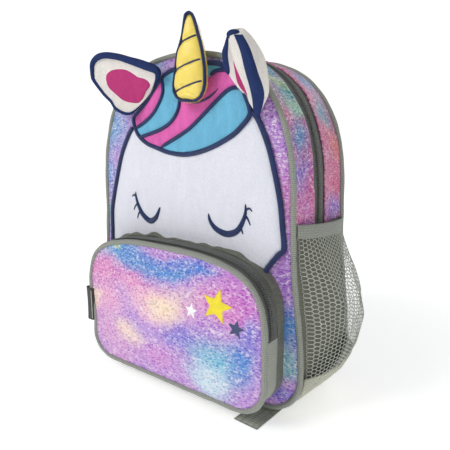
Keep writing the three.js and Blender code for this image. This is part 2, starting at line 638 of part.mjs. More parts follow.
// Straps behind the back; rows are shares of the pad's height, bow and spread
const padRows = [
  { up: 1, out: 0, apart: 0 }, { up: 0.8, out: 0.62, apart: 0.12 }, { up: 0.55, out: 1, apart: 0.4 },
  { up: 0.28, out: 0.95, apart: 0.72 }, { up: 0, out: 0.6, apart: 1 },
];
const yokeLow = padTop + strap.padThickness / 2;
const yokeHub = { x: 0, z: yokeLow + yoke.height / 2 };
const yokeLoop = withNormals([
  [-1, -1], [-0.5, -1], [0, -1], [0.5, -1], [1, -1], [1, 1], [0.5, 1], [0, 1], [-0.5, 1], [-1, 1],
].map(([a, b]) => ({ x: a * yoke.width / 2, z: yokeHub.z + b * yoke.height / 2 })));
add('strap_yoke', sheet(yokeLoop, yokeHub, [0, 1], (x, z, layer) => (
  [x, backAt(x, z) + clear + yoke.thickness * layer, z])), colour.olive);

for (const [word, side] of [['left', -1], ['right', 1]]) {
  const padPath = padRows.map((row) => {
    const x = side * (strap.apart + (strap.spread - strap.apart) * row.apart) / 2;
    const z = padTop - strap.padLength * (1 - row.up);
    return [x, backAt(x, z) + clear + strap.padThickness / 2 + strap.bow * row.out, z];
  });
  add(`shoulder_pad_${word}`, ribbon(padPath, {
    width: strap.padWidth, thickness: strap.padThickness, stepsEach: 3, lanes: 4,
    across: [1, 0, strap.padTurn * side],
    widthAt: (t) => 1 - strap.padTaper * Math.max(0, 5 * t - 4) ** 2, fullAt: (v) => 1 - 0.6 * v ** 4,
  }), colour.strap);

  // The ladder lock hangs just below the pad, in the pad's line
  const end = new THREE.Vector3(...padPath.at(-1));
  const bottom = new THREE.Vector3(side * strap.anchorApart / 2, 0, strap.anchorLevel);
  bottom.y = backAt(bottom.x, bottom.z) + clear + strap.webThickness;
  const down = bottom.clone().sub(end).normalize();
  const across = new THREE.Vector3(1, 0, 0).addScaledVector(down, -down.x).normalize();
  const away = new THREE.Vector3().crossVectors(across, down).multiplyScalar(-1);
  if (away.y < 0) away.negate();
  const lockAt = (a, b, c) => end.clone().addScaledVector(across, a).addScaledVector(down, b + lock.gap)
    .addScaledVector(away, c).toArray();
  const oblong = (width, low, high) => [
    point(-width / 2, low), point(width / 2, low), point(width / 2, high), point(-width / 2, high),
  ];
  const frameShape = new THREE.Shape(oblong(lock.width, 0, lock.height));
  const slot = (lock.height - 3 * lock.bar) / 2;
  for (const start of [lock.bar, 2 * lock.bar + slot]) {
    frameShape.holes.push(new THREE.Path(oblong(lock.slotWidth, start, start + slot)));
  }
  const frame = warp(new THREE.ExtrudeGeometry(frameShape, { depth: lock.thickness, bevelEnabled: false }),
    (x, y, z) => lockAt(x, y, z - lock.thickness / 2));
  add(`ladder_lock_${word}`, frame, colour.plastic, 0.4);

  // Adjusting webbing: from the bottom seam up behind the lock, over its middle bar and down
  const webOff = lock.thickness / 2 + clear + strap.webThickness / 2;
  const middle = lock.bar + slot;
  const turn = middle - webOff * 0.8;
  const rise = [[lock.height * 1.4, -webOff], [lock.height, -webOff], [middle + lock.bar / 2, -webOff]];
  const over = [[turn, -webOff * 0.8], [middle - webOff * 1.15, 0], [turn, webOff * 0.8]];
  const fall = [[middle + lock.bar / 2, webOff], [lock.height, webOff], [lock.height * 1.5, webOff * 2]];
  const threaded = [...rise, ...over, ...fall].map(([b, c]) => lockAt(0, b, c));
  const hanging = threaded.at(-1);
  const tail = side > 0 ? floorTail(hanging) : [[hanging[0], hanging[1] + 2, hanging[2] - strap.tailLeft]];
  add(`strap_webbing_${word}`, ribbon([bottom.toArray(), ...threaded, ...tail], {
    width: strap.webWidth, thickness: strap.webThickness, stepsEach: 3,
  }), colour.webbing);
}

// The right tail drops to the ground, runs under the lifted hem and ends before the pocket; its rows
// are shares of how far it bows out behind the back
function floorTail(from) {
  const ground = strap.webThickness / 2 + strap.tailGap;
  const x = body.baseHalf + strap.tailAside + strap.webWidth / 2;
  const bow = [
    { behind: 1, up: 0.38 }, { behind: 0.625, up: 0.1 }, { behind: 0.17, up: 0.01 }, { behind: -0.5, up: 0 },
  ];
  return [
    [(from[0] + x) / 2, from[1] + strap.tailOut / 6, from[2] / 2],
    ...bow.map(({ behind, up }) => [x, backPlane + seam + strap.tailOut * behind, ground + strap.tailOut * up]),
    [x, 0, ground], [x, frontPlane, ground], [x - 1, frontPlane - strap.tailReach, ground],
  ];
}

// Zip sliders with hanging pulls, one solid each, lying on the closed chains
function sliderAt(x, y, z) {
  const box = (high, wide, thick, drop, out) => {
    const block = new THREE.BoxGeometry(thick, wide, high);
    block.translate(-out - thick / 2, 0, -drop - high / 2);
    return closed(block);
  };
  const whole = join(
    box(slider.length, slider.width, slider.thickness, 0, 0),
    box(slider.pull, slider.pullWidth, slider.pullThickness, slider.length * 0.6,
      slider.thickness - slider.sink));
  whole.translate(x, y, z);
  return whole;
}
const swellAt = (y) => body.crown * (1 - (y / backPlane) ** 2);
const mainStop = body.bandLevel + sidePocket.bandTilt + slider.length + slider.pull + slider.above;
const mainChain = clear - body.halfShoulder - swellAt(mainZip.centre);
const pocketChain = pocketZipFront + (pocket.zipWidth + slider.width) / 2;
add('main_slider', sliderAt(mainChain, mainZip.centre, mainStop), colour.plastic, 0.35, 0.6);
add('pocket_slider', sliderAt(-pocket.halfWidth - clear, pocketChain, pocket.zipEnd + slider.pull),
  colour.plastic, 0.35, 0.6);

// Haul loop, a flat webbing handle sewn down above the yoke
const haulRows = [
  { aside: -1, sewn: 1, out: 0 }, { aside: -1, sewn: 0.4, out: 0.01 }, { aside: -0.98, sewn: 0, out: 0.12 },
  { aside: -0.8, sewn: 0, out: 0.62 }, { aside: -0.42, sewn: 0, out: 0.94 }, { aside: 0, sewn: 0, out: 1 },
  { aside: 0.42, sewn: 0, out: 0.94 }, { aside: 0.8, sewn: 0, out: 0.62 }, { aside: 0.98, sewn: 0, out: 0.12 },
  { aside: 1, sewn: 0.4, out: 0.01 }, { aside: 1, sewn: 1, out: 0 },
];
const haulLevel = yokeLow + yoke.height + clear + haul.width / 2;
add('haul_loop', ribbon(haulRows.map(({ aside, sewn, out }) => {
  const x = aside * haul.apart / 2 + Math.sign(aside) * sewn * haul.sew;
  return [x, backAt(x, haulLevel) + 2 * clear + haul.thickness / 2 + haul.reach * out, haulLevel];
}), { width: haul.width, thickness: haul.thickness, stepsEach: 2, across: [0, -0.1, 1] }), colour.webbing);

export default group;
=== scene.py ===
import math
import random

import bmesh
import bpy
import numpy as np
from mathutils import Matrix, Vector, noise


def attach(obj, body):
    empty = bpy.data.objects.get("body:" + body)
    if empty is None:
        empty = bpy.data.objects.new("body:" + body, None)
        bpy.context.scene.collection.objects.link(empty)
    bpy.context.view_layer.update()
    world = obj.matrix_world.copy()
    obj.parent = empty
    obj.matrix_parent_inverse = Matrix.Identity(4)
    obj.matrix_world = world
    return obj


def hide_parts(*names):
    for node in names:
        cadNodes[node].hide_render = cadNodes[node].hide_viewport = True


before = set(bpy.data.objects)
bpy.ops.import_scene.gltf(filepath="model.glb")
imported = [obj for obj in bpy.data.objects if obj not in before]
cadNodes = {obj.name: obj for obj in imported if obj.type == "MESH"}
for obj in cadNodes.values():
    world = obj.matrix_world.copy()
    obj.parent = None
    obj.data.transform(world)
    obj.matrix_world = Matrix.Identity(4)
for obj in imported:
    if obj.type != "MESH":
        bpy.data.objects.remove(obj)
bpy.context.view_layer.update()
mm = 0.001

print("camera and lights")
camera = {"eye": (0.3140, -0.3966, 0.2604), "target": (0.00642, 0.00492, 0.1570), "lens": 39.01}
cameraObject = bpy.data.objects.new("photo_camera", bpy.data.cameras.new("photo_camera"))
cameraObject.data.lens = camera["lens"]
cameraObject.data.sensor_width = 36
cameraObject.data.clip_start = 0.01
cameraObject.location = camera["eye"]
gaze = Vector(camera["target"]) - Vector(camera["eye"])
cameraObject.rotation_euler = gaze.to_track_quat("-Z", "Y").to_euler()
bpy.context.scene.collection.objects.link(cameraObject)
bpy.context.scene.camera = cameraObject

softLights = [  # name, place, aimed at, width in metres, watts
    ("key_light", (-0.55, -1.15, 1.10), (0, 0, 0.16), 0.7, 10.5),
    ("fill_light", (1.35, -0.45, 0.75), (0, 0, 0.16), 1.0, 3.2),
    ("back_light", (0.3, 1.3, 1.1), (0, 0, 0.2), 1.0, 4),
]
for name, place, aim, width, watts in softLights:
    light = bpy.data.lights.new(name, "AREA")
    light.size = width
    light.energy = watts
    lamp = bpy.data.objects.new(name, light)
    lamp.location = place
    lamp.rotation_euler = (Vector(aim) - Vector(place)).to_track_quat("-Z", "Y").to_euler()
    bpy.context.scene.collection.objects.link(lamp)
world = bpy.data.worlds.new("studio")
world.use_nodes = True
world.node_tree.nodes["Background"].inputs["Color"].default_value = (0.93, 0.94, 0.96, 1)
world.node_tree.nodes["Background"].inputs["Strength"].default_value = 0.40
bpy.context.scene.world = world
bpy.context.scene.view_settings.view_transform = "Standard"


# Node helpers: a value that is a socket is linked, any other is set
def node(tree, kind, values=None, **settings):
    made = tree.nodes.new("ShaderNode" + kind)
    for key, value in settings.items():
        setattr(made, key, value)
    for key, value in (values or {}).items():
        if isinstance(value, bpy.types.NodeSocket):
            tree.links.new(value, made.inputs[key])
        else:
            made.inputs[key].default_value = value
    return made


def calc(tree, operation, *values):
    return node(tree, "Math", dict(enumerate(values)), operation=operation).outputs[0]


def vectorCalc(tree, operation, *values):
    made = node(tree, "VectorMath", dict(enumerate(values)), operation=operation)
    single = operation in ("DISTANCE", "LENGTH", "DOT_PRODUCT")
    return made.outputs["Value"] if single else made.outputs["Vector"]


def colour(red, green, blue):  # 0 to 255 as seen, to scene linear
    linear = [((c / 255 + 0.055) / 1.055) ** 2.4 if c > 10 else c / 3294 for c in (red, green, blue)]
    return (*linear, 1)


def blendColours(tree, share, first, second, mode="MIX"):
    made = node(tree, "Mix", data_type="RGBA", blend_type=mode)
    for index, value in ((0, share), (6, first), (7, second)):
        if isinstance(value, bpy.types.NodeSocket):
            tree.links.new(value, made.inputs[index])
        else:
            made.inputs[index].default_value = value
    return made.outputs[2]


def spread(tree, value, low, high, toLow=0.0, toHigh=1.0, smooth=True):
    values = {"Value": value, "From Min": low, "From Max": high, "To Min": toLow, "To Max": toHigh}
    return node(tree, "MapRange", values, interpolation_type="SMOOTHSTEP" if smooth else "LINEAR").outputs[0]


def newGroup(name, inputs, outputs):
    tree = bpy.data.node_groups.new(name, "ShaderNodeTree")
    for label, kind, value in inputs:
        socket = tree.interface.new_socket(label, in_out="INPUT", socket_type="NodeSocket" + kind)
        if value is not None:
            socket.default_value = value
    for label, kind in outputs:
        tree.interface.new_socket(label, in_out="OUTPUT", socket_type="NodeSocket" + kind)
    return tree, tree.nodes.new("NodeGroupInput"), tree.nodes.new("NodeGroupOutput")


def useGroup(tree, group, **values):
    made = tree.nodes.new("ShaderNodeGroup")
    made.node_tree = group
    for key, value in values.items():
        if isinstance(value, bpy.types.NodeSocket):
            tree.links.new(value, made.inputs[key])
        else:
            made.inputs[key].default_value = value
    return made


print("cloth effects")
# Plain weave: over and under threads along two directions of the coordinates
weave, given, put = newGroup("weave", [
    ("Place", "Vector", None), ("Threads", "Float", 1500.0), ("Slub", "Float", 0.3)],
    [("Height", "Float"), ("Shade", "Float")])
parts = node(weave, "SeparateXYZ", {"Vector": given.outputs["Place"]})
waves = [calc(weave, "SINE", calc(weave, "MULTIPLY", parts.outputs[axis], given.outputs["Threads"]))
         for axis in range(3)]
crossed = calc(weave, "ADD", calc(weave, "MULTIPLY", waves[0], waves[2]),
               calc(weave, "MULTIPLY", waves[1], waves[2]))
slub = node(weave, "TexNoise",
            {"Vector": given.outputs["Place"], "Scale": 260.0, "Detail": 3.0}).outputs["Fac"]
uneven = calc(weave, "MULTIPLY", calc(weave, "SUBTRACT", slub, 0.5), given.outputs["Slub"])
weave.links.new(calc(weave, "ADD", calc(weave, "MULTIPLY", crossed, 0.5), uneven), put.inputs["Height"])
weave.links.new(calc(weave, "ADD", calc(weave, "MULTIPLY", crossed, 0.12), calc(weave, "ADD", uneven, 1.0)),
                put.inputs["Shade"])

# Ribs across a tape, from its own UV in metres
ribs, given, put = newGroup("ribs", [("Pitch", "Float", 0.0012)],
                            [("Height", "Float"), ("Shade", "Float")])
uv = node(ribs, "TexCoord").outputs["UV"]
parts = node(ribs, "SeparateXYZ", {"Vector": uv})
turn = calc(ribs, "DIVIDE", parts.outputs[0], given.outputs["Pitch"])
fine = node(ribs, "TexNoise", {"Vector": uv, "Scale": 900.0, "Detail": 2.0}).outputs["Fac"]
wandered = calc(ribs, "ADD", turn, calc(ribs, "MULTIPLY", fine, 0.35))
ridge = calc(ribs, "SINE", calc(ribs, "MULTIPLY", wandered, 6.2832))
across = calc(ribs, "SINE", calc(ribs, "MULTIPLY", parts.outputs[1], 3900.0))
height = calc(ribs, "ADD", calc(ribs, "MULTIPLY", ridge, 0.4), calc(ribs, "MULTIPLY", across, 0.24))
ribs.links.new(height, put.inputs["Height"])
ribs.links.new(calc(ribs, "ADD", calc(ribs, "MULTIPLY", height, 0.46),
                    spread(ribs, fine, 0.3, 0.7, 0.86, 1.08)), put.inputs["Shade"])

# Short pile: clumped tufts with soft brushed patches
pile, given, put = newGroup("pile", [("Tufts", "Float", 900.0), ("Brushed", "Float", 0.1)],
                            [("Height", "Float"), ("Shade", "Float")])
place = node(pile, "TexCoord").outputs["Object"]
tuftSettings = {"Vector": place, "Scale": given.outputs["Tufts"], "Detail": 3.0, "Roughness": 0.6}
tufts = node(pile, "TexNoise", tuftSettings).outputs["Fac"]
clumpSize = calc(pile, "MULTIPLY", given.outputs["Tufts"], 0.55)
clumps = node(pile, "TexVoronoi", {"Vector": place, "Scale": clumpSize}).outputs["Distance"]
slanted = node(pile, "Mapping",
               {"Vector": place, "Rotation": (0, 0.7, 0), "Scale": (1.0, 1.0, 0.32)}).outputs[0]
brushed = node(pile, "TexNoise",
               {"Vector": slanted, "Scale": 120.0, "Detail": 4.0, "Distortion": 0.8}).outputs["Fac"]
height = calc(pile, "ADD", tufts, calc(pile, "MULTIPLY", clumps, -0.5))
pile.links.new(calc(pile, "ADD", height, calc(pile, "MULTIPLY", brushed, 0.8)), put.inputs["Height"])
swing = calc(pile, "MULTIPLY", calc(pile, "SUBTRACT", brushed, 0.5), given.outputs["Brushed"])
pile.links.new(calc(pile, "ADD", spread(pile, tufts, 0.3, 0.7, 0.93, 1.04), swing), put.inputs["Shade"])

# Satin stitch: thread after thread across a ridge, from its own UV in metres
satin, given, put = newGroup("satin", [("Thread", "Float", 0.00045), ("Lean", "Float", 0.15)],
                             [("Height", "Float"), ("Shade", "Float")])
uv = node(satin, "TexCoord").outputs["UV"]
parts = node(satin, "SeparateXYZ", {"Vector": uv})
leaned = calc(satin, "ADD", parts.outputs[0],
              calc(satin, "MULTIPLY", parts.outputs[1], given.outputs["Lean"]))
loose = node(satin, "TexNoise", {"Vector": uv, "Scale": 700.0, "Detail": 1.0}).outputs["Fac"]
threads = calc(satin, "ADD", calc(satin, "DIVIDE", leaned, given.outputs["Thread"]),
               calc(satin, "MULTIPLY", loose, 0.8))
ridge = calc(satin, "SINE", calc(satin, "MULTIPLY", threads, 6.2832))
patchy = node(satin, "TexNoise", {"Vector": uv, "Scale": 160.0, "Detail": 2.0}).outputs["Fac"]
satin.links.new(ridge, put.inputs["Height"])
satin.links.new(calc(satin, "ADD", calc(satin, "MULTIPLY", ridge, 0.16),
                     spread(satin, patchy, 0.3, 0.7, 0.8, 1.15)), put.inputs["Shade"])

# Crackled print: coloured dots parted by fine pale wrinkles. The Base colour is the print; the pale wrinkles
# are a painted highlight on the raised ridges, and the darker, more violet dots are painted shade in the
# hollows
crackle, given, put = newGroup("crackle", [("Base", "Color", (1, 1, 1, 1)), ("Grain", "Float", 430.0)],
                               [("Color", "Color"), ("Height", "Float")])
place = vectorCalc(crackle, "MULTIPLY", node(crackle, "TexCoord").outputs["Object"], (0.72, 0.8, 1.25))
bent = node(crackle, "TexNoise", {"Vector": place, "Scale": 320.0, "Detail": 2.0}).outputs["Color"]
bend = vectorCalc(crackle, "MULTIPLY", vectorCalc(crackle, "SUBTRACT", bent, (0.5, 0.5, 0.5)),
                  (0.0026, 0.0026, 0.0026))
wrinkled = vectorCalc(crackle, "ADD", place, bend)
cells = node(crackle, "TexVoronoi", {"Vector": wrinkled, "Scale": given.outputs["Grain"], "Randomness": 1.0})
patchy = node(crackle, "TexNoise", {"Vector": place, "Scale": 60.0, "Detail": 2.0}).outputs["Fac"]
streaks = node(crackle, "TexNoise",
               {"Vector": place, "Scale": 360.0, "Detail": 3.0, "Distortion": 1.2}).outputs["Fac"]
# dot marks the hollow cell centres, which get painted shade
dot = spread(crackle, cells.outputs["Distance"], 0.16, 0.55, 1.0, 0.0)
line = calc(crackle, "MULTIPLY", spread(crackle, streaks, 0.50, 0.62),
            calc(crackle, "SUBTRACT", 1.0, calc(crackle, "MULTIPLY", dot, 0.7)))
line = calc(crackle, "MULTIPLY", line, spread(crackle, patchy, 0.3, 0.7, 0.55, 1.0))
vivid = node(crackle, "HueSaturation",
             {"Color": given.outputs["Base"], "Saturation": 1.7, "Value": 0.86}).outputs[0]
# deep is painted shade: a darker, more violet copy of the print for the hollow dots
deep = blendColours(crackle, 0.5, vivid,
                    blendColours(crackle, 1.0, given.outputs["Base"], colour(150, 140, 214), "MULTIPLY"))
deep = blendColours(crackle, 0.14, deep, cells.outputs["Color"], "OVERLAY")
# pale is a painted highlight: the print mixed towards white along the raised wrinkles
pale = blendColours(crackle, 0.62, given.outputs["Base"], colour(255, 246, 250))
# ground is the print with painted shade in the hollow dots
ground = blendColours(crackle, calc(crackle, "MULTIPLY", dot, 0.85), given.outputs["Base"], deep)
crackle.links.new(blendColours(crackle, line, ground, pale), put.inputs["Color"])
dot = calc(crackle, "SUBTRACT", dot, line)
crackle.links.new(calc(crackle, "SUBTRACT", 1.0, dot), put.inputs["Height"])


def material(name, roughness=0.8, sheen=0.0, sheenTint=(1, 1, 1, 1), metallic=0.0, specular=0.5):
    made = bpy.data.materials.new(name)
    made.use_nodes = True
    tree = made.node_tree
    shader = tree.nodes["Principled BSDF"]
    settings = {"Roughness": roughness, "Sheen Weight": sheen, "Sheen Tint": sheenTint, "Metallic": metallic,
                "Specular IOR Level": specular}
    for key, value in settings.items():
        shader.inputs[key].default_value = value
    return made, tree, shader


def bumped(tree, shader, height, depth, strength=1.0):
    bump = node(tree, "Bump", {"Height": height, "Distance": depth, "Strength": strength})
    tree.links.new(bump.outputs[0], shader.inputs["Normal"])


def shaded(tree, shader, tone, shade):
    tree.links.new(blendColours(tree, 1.0, tone, shade, "MULTIPLY"), shader.inputs["Base Color"])


def clothMaterial(name, tone, threads=2600.0, depth=0.00025, roughness=0.85, sheen=0.15, slub=0.5):
    made, tree, shader = material(name, roughness, sheen)
    cloth = useGroup(tree, weave, Place=node(tree, "TexCoord").outputs["Object"], Threads=threads, Slub=slub)
    shaded(tree, shader, tone, cloth.outputs["Shade"])
    bumped(tree, shader, cloth.outputs["Height"], depth)
    return made


def tapeMaterial(name, tone, pitch=0.0013, depth=0.0003):
    made, tree, shader = material(name, 0.8, 0.15)
    tape = useGroup(tree, ribs, Pitch=pitch)
    shaded(tree, shader, tone, tape.outputs["Shade"])
    bumped(tree, shader, tape.outputs["Height"], depth)
    return made


def pileMaterial(name, tone, tufts=900.0, brushed=0.12, depth=0.0007, sheen=0.6):
    made, tree, shader = material(name, 0.95, sheen, tone, specular=0.2)
    nap = useGroup(tree, pile, Tufts=tufts, Brushed=brushed)
    shaded(tree, shader, tone, nap.outputs["Shade"])
    bumped(tree, shader, nap.outputs["Height"], depth, 0.7)
    return made


def threadMaterial(name, tone, thread=0.00045, depth=0.00022, roughness=0.42):
    made, tree, shader = material(name, roughness, 0.1, specular=0.5)
    stitch = useGroup(tree, satin, Thread=thread)
    shaded(tree, shader, tone, stitch.outputs["Shade"])
    bumped(tree, shader, stitch.outputs["Height"], depth)
    return made


def printMaterial(name, ground, clouds, grain=350.0):
    made, tree, shader = material(name, 0.40, 0.05, specular=0.45)
    place = node(tree, "TexCoord").outputs["Object"]
    drift = node(tree, "TexNoise", {"Vector": place, "Scale": 14.0, "Detail": 3.0}).outputs["Color"]
    shift = vectorCalc(tree, "MULTIPLY", vectorCalc(tree, "SUBTRACT", drift, (0.5, 0.5, 0.5)),
                       (0.06, 0.06, 0.06))
    drifted = vectorCalc(tree, "ADD", place, shift)
    tone = ground
    for centre, reach, tint in clouds:
        back = tuple(-c * mm / r for c, r in zip(centre, reach))
        shrink = tuple(1 / r for r in reach)
        squashed = node(tree, "Mapping", {"Vector": drifted, "Location": back, "Scale": shrink}).outputs[0]
        far = vectorCalc(tree, "LENGTH", squashed)
        tone = blendColours(tree, spread(tree, far, 0.1 * mm, 1.12 * mm, 1.0, 0.0), tone, tint)
    # the crackle colour adds painted shade in the grain's hollows and a painted highlight on its ridges over
    # the printed clouds
    grained = useGroup(tree, crackle, Base=tone, Grain=grain)
    tree.links.new(grained.outputs["Color"], shader.inputs["Base Color"])
    bumped(tree, shader, grained.outputs["Height"], 0.00035, 0.6)
    return made


pink, lilac, violet = colour(222, 136, 192), colour(192, 148, 212), colour(134, 124, 210)
sky, aqua, cream = colour(84, 144, 212), colour(124, 192, 216), colour(250, 226, 196)
teal, lime = colour(70, 150, 172), colour(186, 206, 128)
pocketPrint = printMaterial("pocket_print", lilac, [  # place and reach in mm, tint
    ((-92, -80, 110), (44, 60, 26), pink), ((-88, -80, 76), (44, 60, 34), colour(232, 166, 204)),
    ((-30, -80, 106), (60, 60, 20), pink), ((-6, -80, 94), (58, 60, 28), colour(240, 190, 214)),
    ((6, -80, 97), (46, 60, 22), cream), ((-104, -80, 74), (15, 60, 20), cream),
    ((88, -80, 112), (38, 60, 30), colour(204, 118, 200)),
    ((60, -80, 100), (36, 60, 20), colour(224, 144, 200)), ((-64, -80, 138), (70, 60, 24), aqua),
    ((-40, -80, 136), (64, 60, 18), sky), ((10, -80, 131), (62, 60, 15), sky),
    ((-84, -80, 141), (32, 60, 12), colour(150, 206, 214)), ((-72, -80, 139), (20, 60, 8), lime),
    ((46, -80, 131), (24, 60, 9), colour(62, 120, 210)), ((20, -80, 141), (60, 60, 8), colour(112, 136, 214)),
    ((-20, -80, 66), (34, 60, 18), colour(186, 146, 214)), ((30, -80, 68), (44, 60, 20), violet),
    ((-74, -80, 38), (46, 60, 28), colour(216, 160, 206)),
    ((-46, -80, 52), (28, 60, 16), colour(244, 216, 204)),
    ((-12, -80, 34), (40, 60, 20), colour(206, 142, 208)), ((70, -80, 46), (44, 60, 34), aqua),
    ((62, -80, 32), (34, 60, 20), colour(204, 226, 234)), ((98, -80, 60), (22, 60, 34), sky),
    ((104, -80, 88), (18, 60, 24), violet),
])
frontPrint = printMaterial("front_print", lilac, [
    ((-105, -50, 262), (45, 60, 44), colour(116, 176, 214)),
    ((-114, -50, 205), (36, 60, 38), colour(128, 168, 216)), ((-60, -50, 318), (50, 60, 26), aqua),
    ((-116, -50, 160), (30, 60, 26), colour(128, 190, 196)),
    ((50, -50, 322), (50, 60, 18), colour(150, 158, 214)),
    ((98, -50, 262), (40, 60, 40), colour(176, 132, 200)),
    ((112, -50, 205), (34, 60, 30), colour(196, 124, 184)),
    ((114, -50, 160), (34, 60, 24), colour(164, 116, 190)),
    ((118, -50, 128), (30, 60, 22), colour(156, 110, 190)), ((122, -50, 86), (30, 60, 26), sky),
    ((120, -50, 58), (30, 60, 22), colour(136, 190, 200)), ((112, -50, 22), (40, 60, 18), violet),
    ((-118, -50, 90), (34, 60, 50), violet), ((-100, -50, 20), (50, 60, 24), pink),
])
sidePrint = printMaterial("side_print", colour(210, 118, 160), [
    ((0, 0, 322), (60, 60, 30), pink), ((40, 26, 322), (34, 22, 14), colour(196, 140, 200)),
    ((84, 30, 304), (34, 22, 26), colour(110, 150, 200)), ((110, 32, 272), (34, 24, 24), teal),
    ((62, -30, 314), (40, 24, 30), teal), ((96, -32, 290), (34, 24, 34), colour(76, 160, 170)),
    ((92, -36, 298), (24, 14, 14), lime), ((108, -26, 270), (22, 20, 16), colour(150, 204, 176)),
    ((114, -32, 244), (30, 22, 26), colour(84, 140, 190)),
    ((118, -32, 218), (26, 20, 14), colour(128, 116, 200)),
    ((118, -30, 198), (30, 24, 20), colour(196, 110, 180)),
    ((120, -30, 178), (26, 26, 12), colour(150, 104, 190)),
    ((118, 30, 240), (30, 24, 26), colour(226, 132, 134)),
    ((118, 30, 206), (30, 24, 20), colour(214, 108, 146)),
    ((118, 26, 182), (30, 28, 14), colour(150, 110, 196)), ((-80, 10, 300), (60, 60, 40), sky),
    ((-112, 10, 250), (40, 60, 34), lilac), ((-118, 0, 205), (40, 60, 34), pink),
])


def starMaterial(name, tone):  # smooth ink over the crackled cloth
    made, tree, shader = material(name, 0.46)
    place = node(tree, "TexCoord").outputs["Object"]
    ink = node(tree, "TexNoise", {"Vector": place, "Scale": 240.0, "Detail": 3.0}).outputs["Fac"]
    shaded(tree, shader, tone, spread(tree, ink, 0.3, 0.7, 0.93, 1.04))
    bumped(tree, shader, useGroup(tree, crackle, Grain=430.0).outputs["Height"], 0.00012, 0.5)
    return made


starInks = [  # name, middle, reach, turn in degrees, ink
    ("star_large", (66.5, 107.5), 16.5, 79, starMaterial("yellow_ink", colour(244, 224, 40))),
    ("star_pale", (38, 97), 7.8, 86, starMaterial("white_ink", colour(250, 248, 250))),
    ("star_dark", (86, 91), 8.8, 80, starMaterial("navy_ink", colour(58, 70, 112))),
]
liningCloth = clothMaterial("olive_lining", colour(172, 173, 156), 2000.0)
innerCloth = clothMaterial("olive_inner", colour(112, 114, 100), 2000.0)
oliveCloth = clothMaterial("olive_cloth", colour(104, 106, 95), 2000.0, sheen=0.1)
backCloth = clothMaterial("back_cloth", colour(122, 125, 116), 2000.0)
bindingCloth = tapeMaterial("grey_binding", colour(150, 154, 144), 0.0017, 0.0004)
zipTape = tapeMaterial("zip_tape", colour(98, 100, 93), 0.0016, 0.0004)
webbingCloth = tapeMaterial("light_webbing", colour(166, 170, 158), 0.0022, 0.0006)
labelCloth = tapeMaterial("label_cloth", colour(62, 63, 62), 0.0012, 0.0003)
whiteThread = threadMaterial("white_thread", colour(214, 214, 206), 0.0005, 0.0001, 0.5)
whitePlush = pileMaterial("white_plush", colour(232, 233, 242), 1000.0, 0.14)
creamPlush = pileMaterial("cream_plush", colour(232, 227, 220), 700.0, 0.22)
pinkPlush = pileMaterial("pink_plush", colour(226, 106, 180), 800.0, 0.46)
bluePlush = pileMaterial("blue_plush", colour(114, 186, 218), 800.0, 0.46)
earPink = pileMaterial("ear_pink_plush", colour(186, 60, 120), 700.0, 0.5)
navyThread = threadMaterial("navy_thread", colour(26, 54, 116), 0.0009, 0.0004)
yellowThread = threadMaterial("yellow_thread", colour(236, 208, 92), 0.0004, 0.0002, 0.38)
yellowSatin = clothMaterial("yellow_satin", colour(250, 224, 104), 3400.0, 0.00005, 0.42, 0.1, 0.3)
navyPile = pileMaterial("navy_short_pile", colour(38, 54, 100), 1100.0, 0.45, 0.0006, 0.25)
strapCloth = clothMaterial("strap_cloth", colour(140, 142, 142), 1900.0)
netThread = clothMaterial("net_thread", colour(196, 199, 188), 5200.0, 0.0001, 0.7)


def mouldedMaterial(name, tone, roughness, metallic=0.0):
    made, tree, shader = material(name, roughness, metallic=metallic)
    place = node(tree, "TexCoord").outputs["Object"]
    grain = node(tree, "TexNoise", {"Vector": place, "Scale": 1400.0, "Detail": 2.0}).outputs["Fac"]
    worn = node(tree, "TexNoise", {"Vector": place, "Scale": 90.0, "Detail": 4.0}).outputs["Fac"]
    shaded(tree, shader, tone, spread(tree, worn, 0.3, 0.7, 0.88, 1.1))
    tree.links.new(spread(tree, worn, 0.3, 0.7, roughness * 0.8, roughness * 1.25),
                   shader.inputs["Roughness"])
    bumped(tree, shader, grain, 0.00006, 0.5)
    return made


coilNylon = mouldedMaterial("coil_nylon", colour(112, 115, 112), 0.45)
lockPlastic = mouldedMaterial("lock_plastic", colour(70, 72, 74), 0.38)
castZinc = mouldedMaterial("cast_zinc", colour(120, 121, 124), 0.32, 1.0)


# Mesh helpers; places are in millimetres
def addPiece(name, bm):
    mesh = bpy.data.meshes.new(name)
    bm.to_mesh(mesh)
    bm.free()
    mesh.shade_smooth()
    piece = bpy.data.objects.new(name, mesh)
    bpy.context.scene.collection.objects.link(piece)
    return piece


def settle(piece):  # applies the piece's modifiers
    depsgraph = bpy.context.evaluated_depsgraph_get()
    mesh = bpy.data.meshes.new_from_object(piece.evaluated_get(depsgraph), depsgraph=depsgraph)
    piece.modifiers.clear()
    piece.data = mesh
    return piece


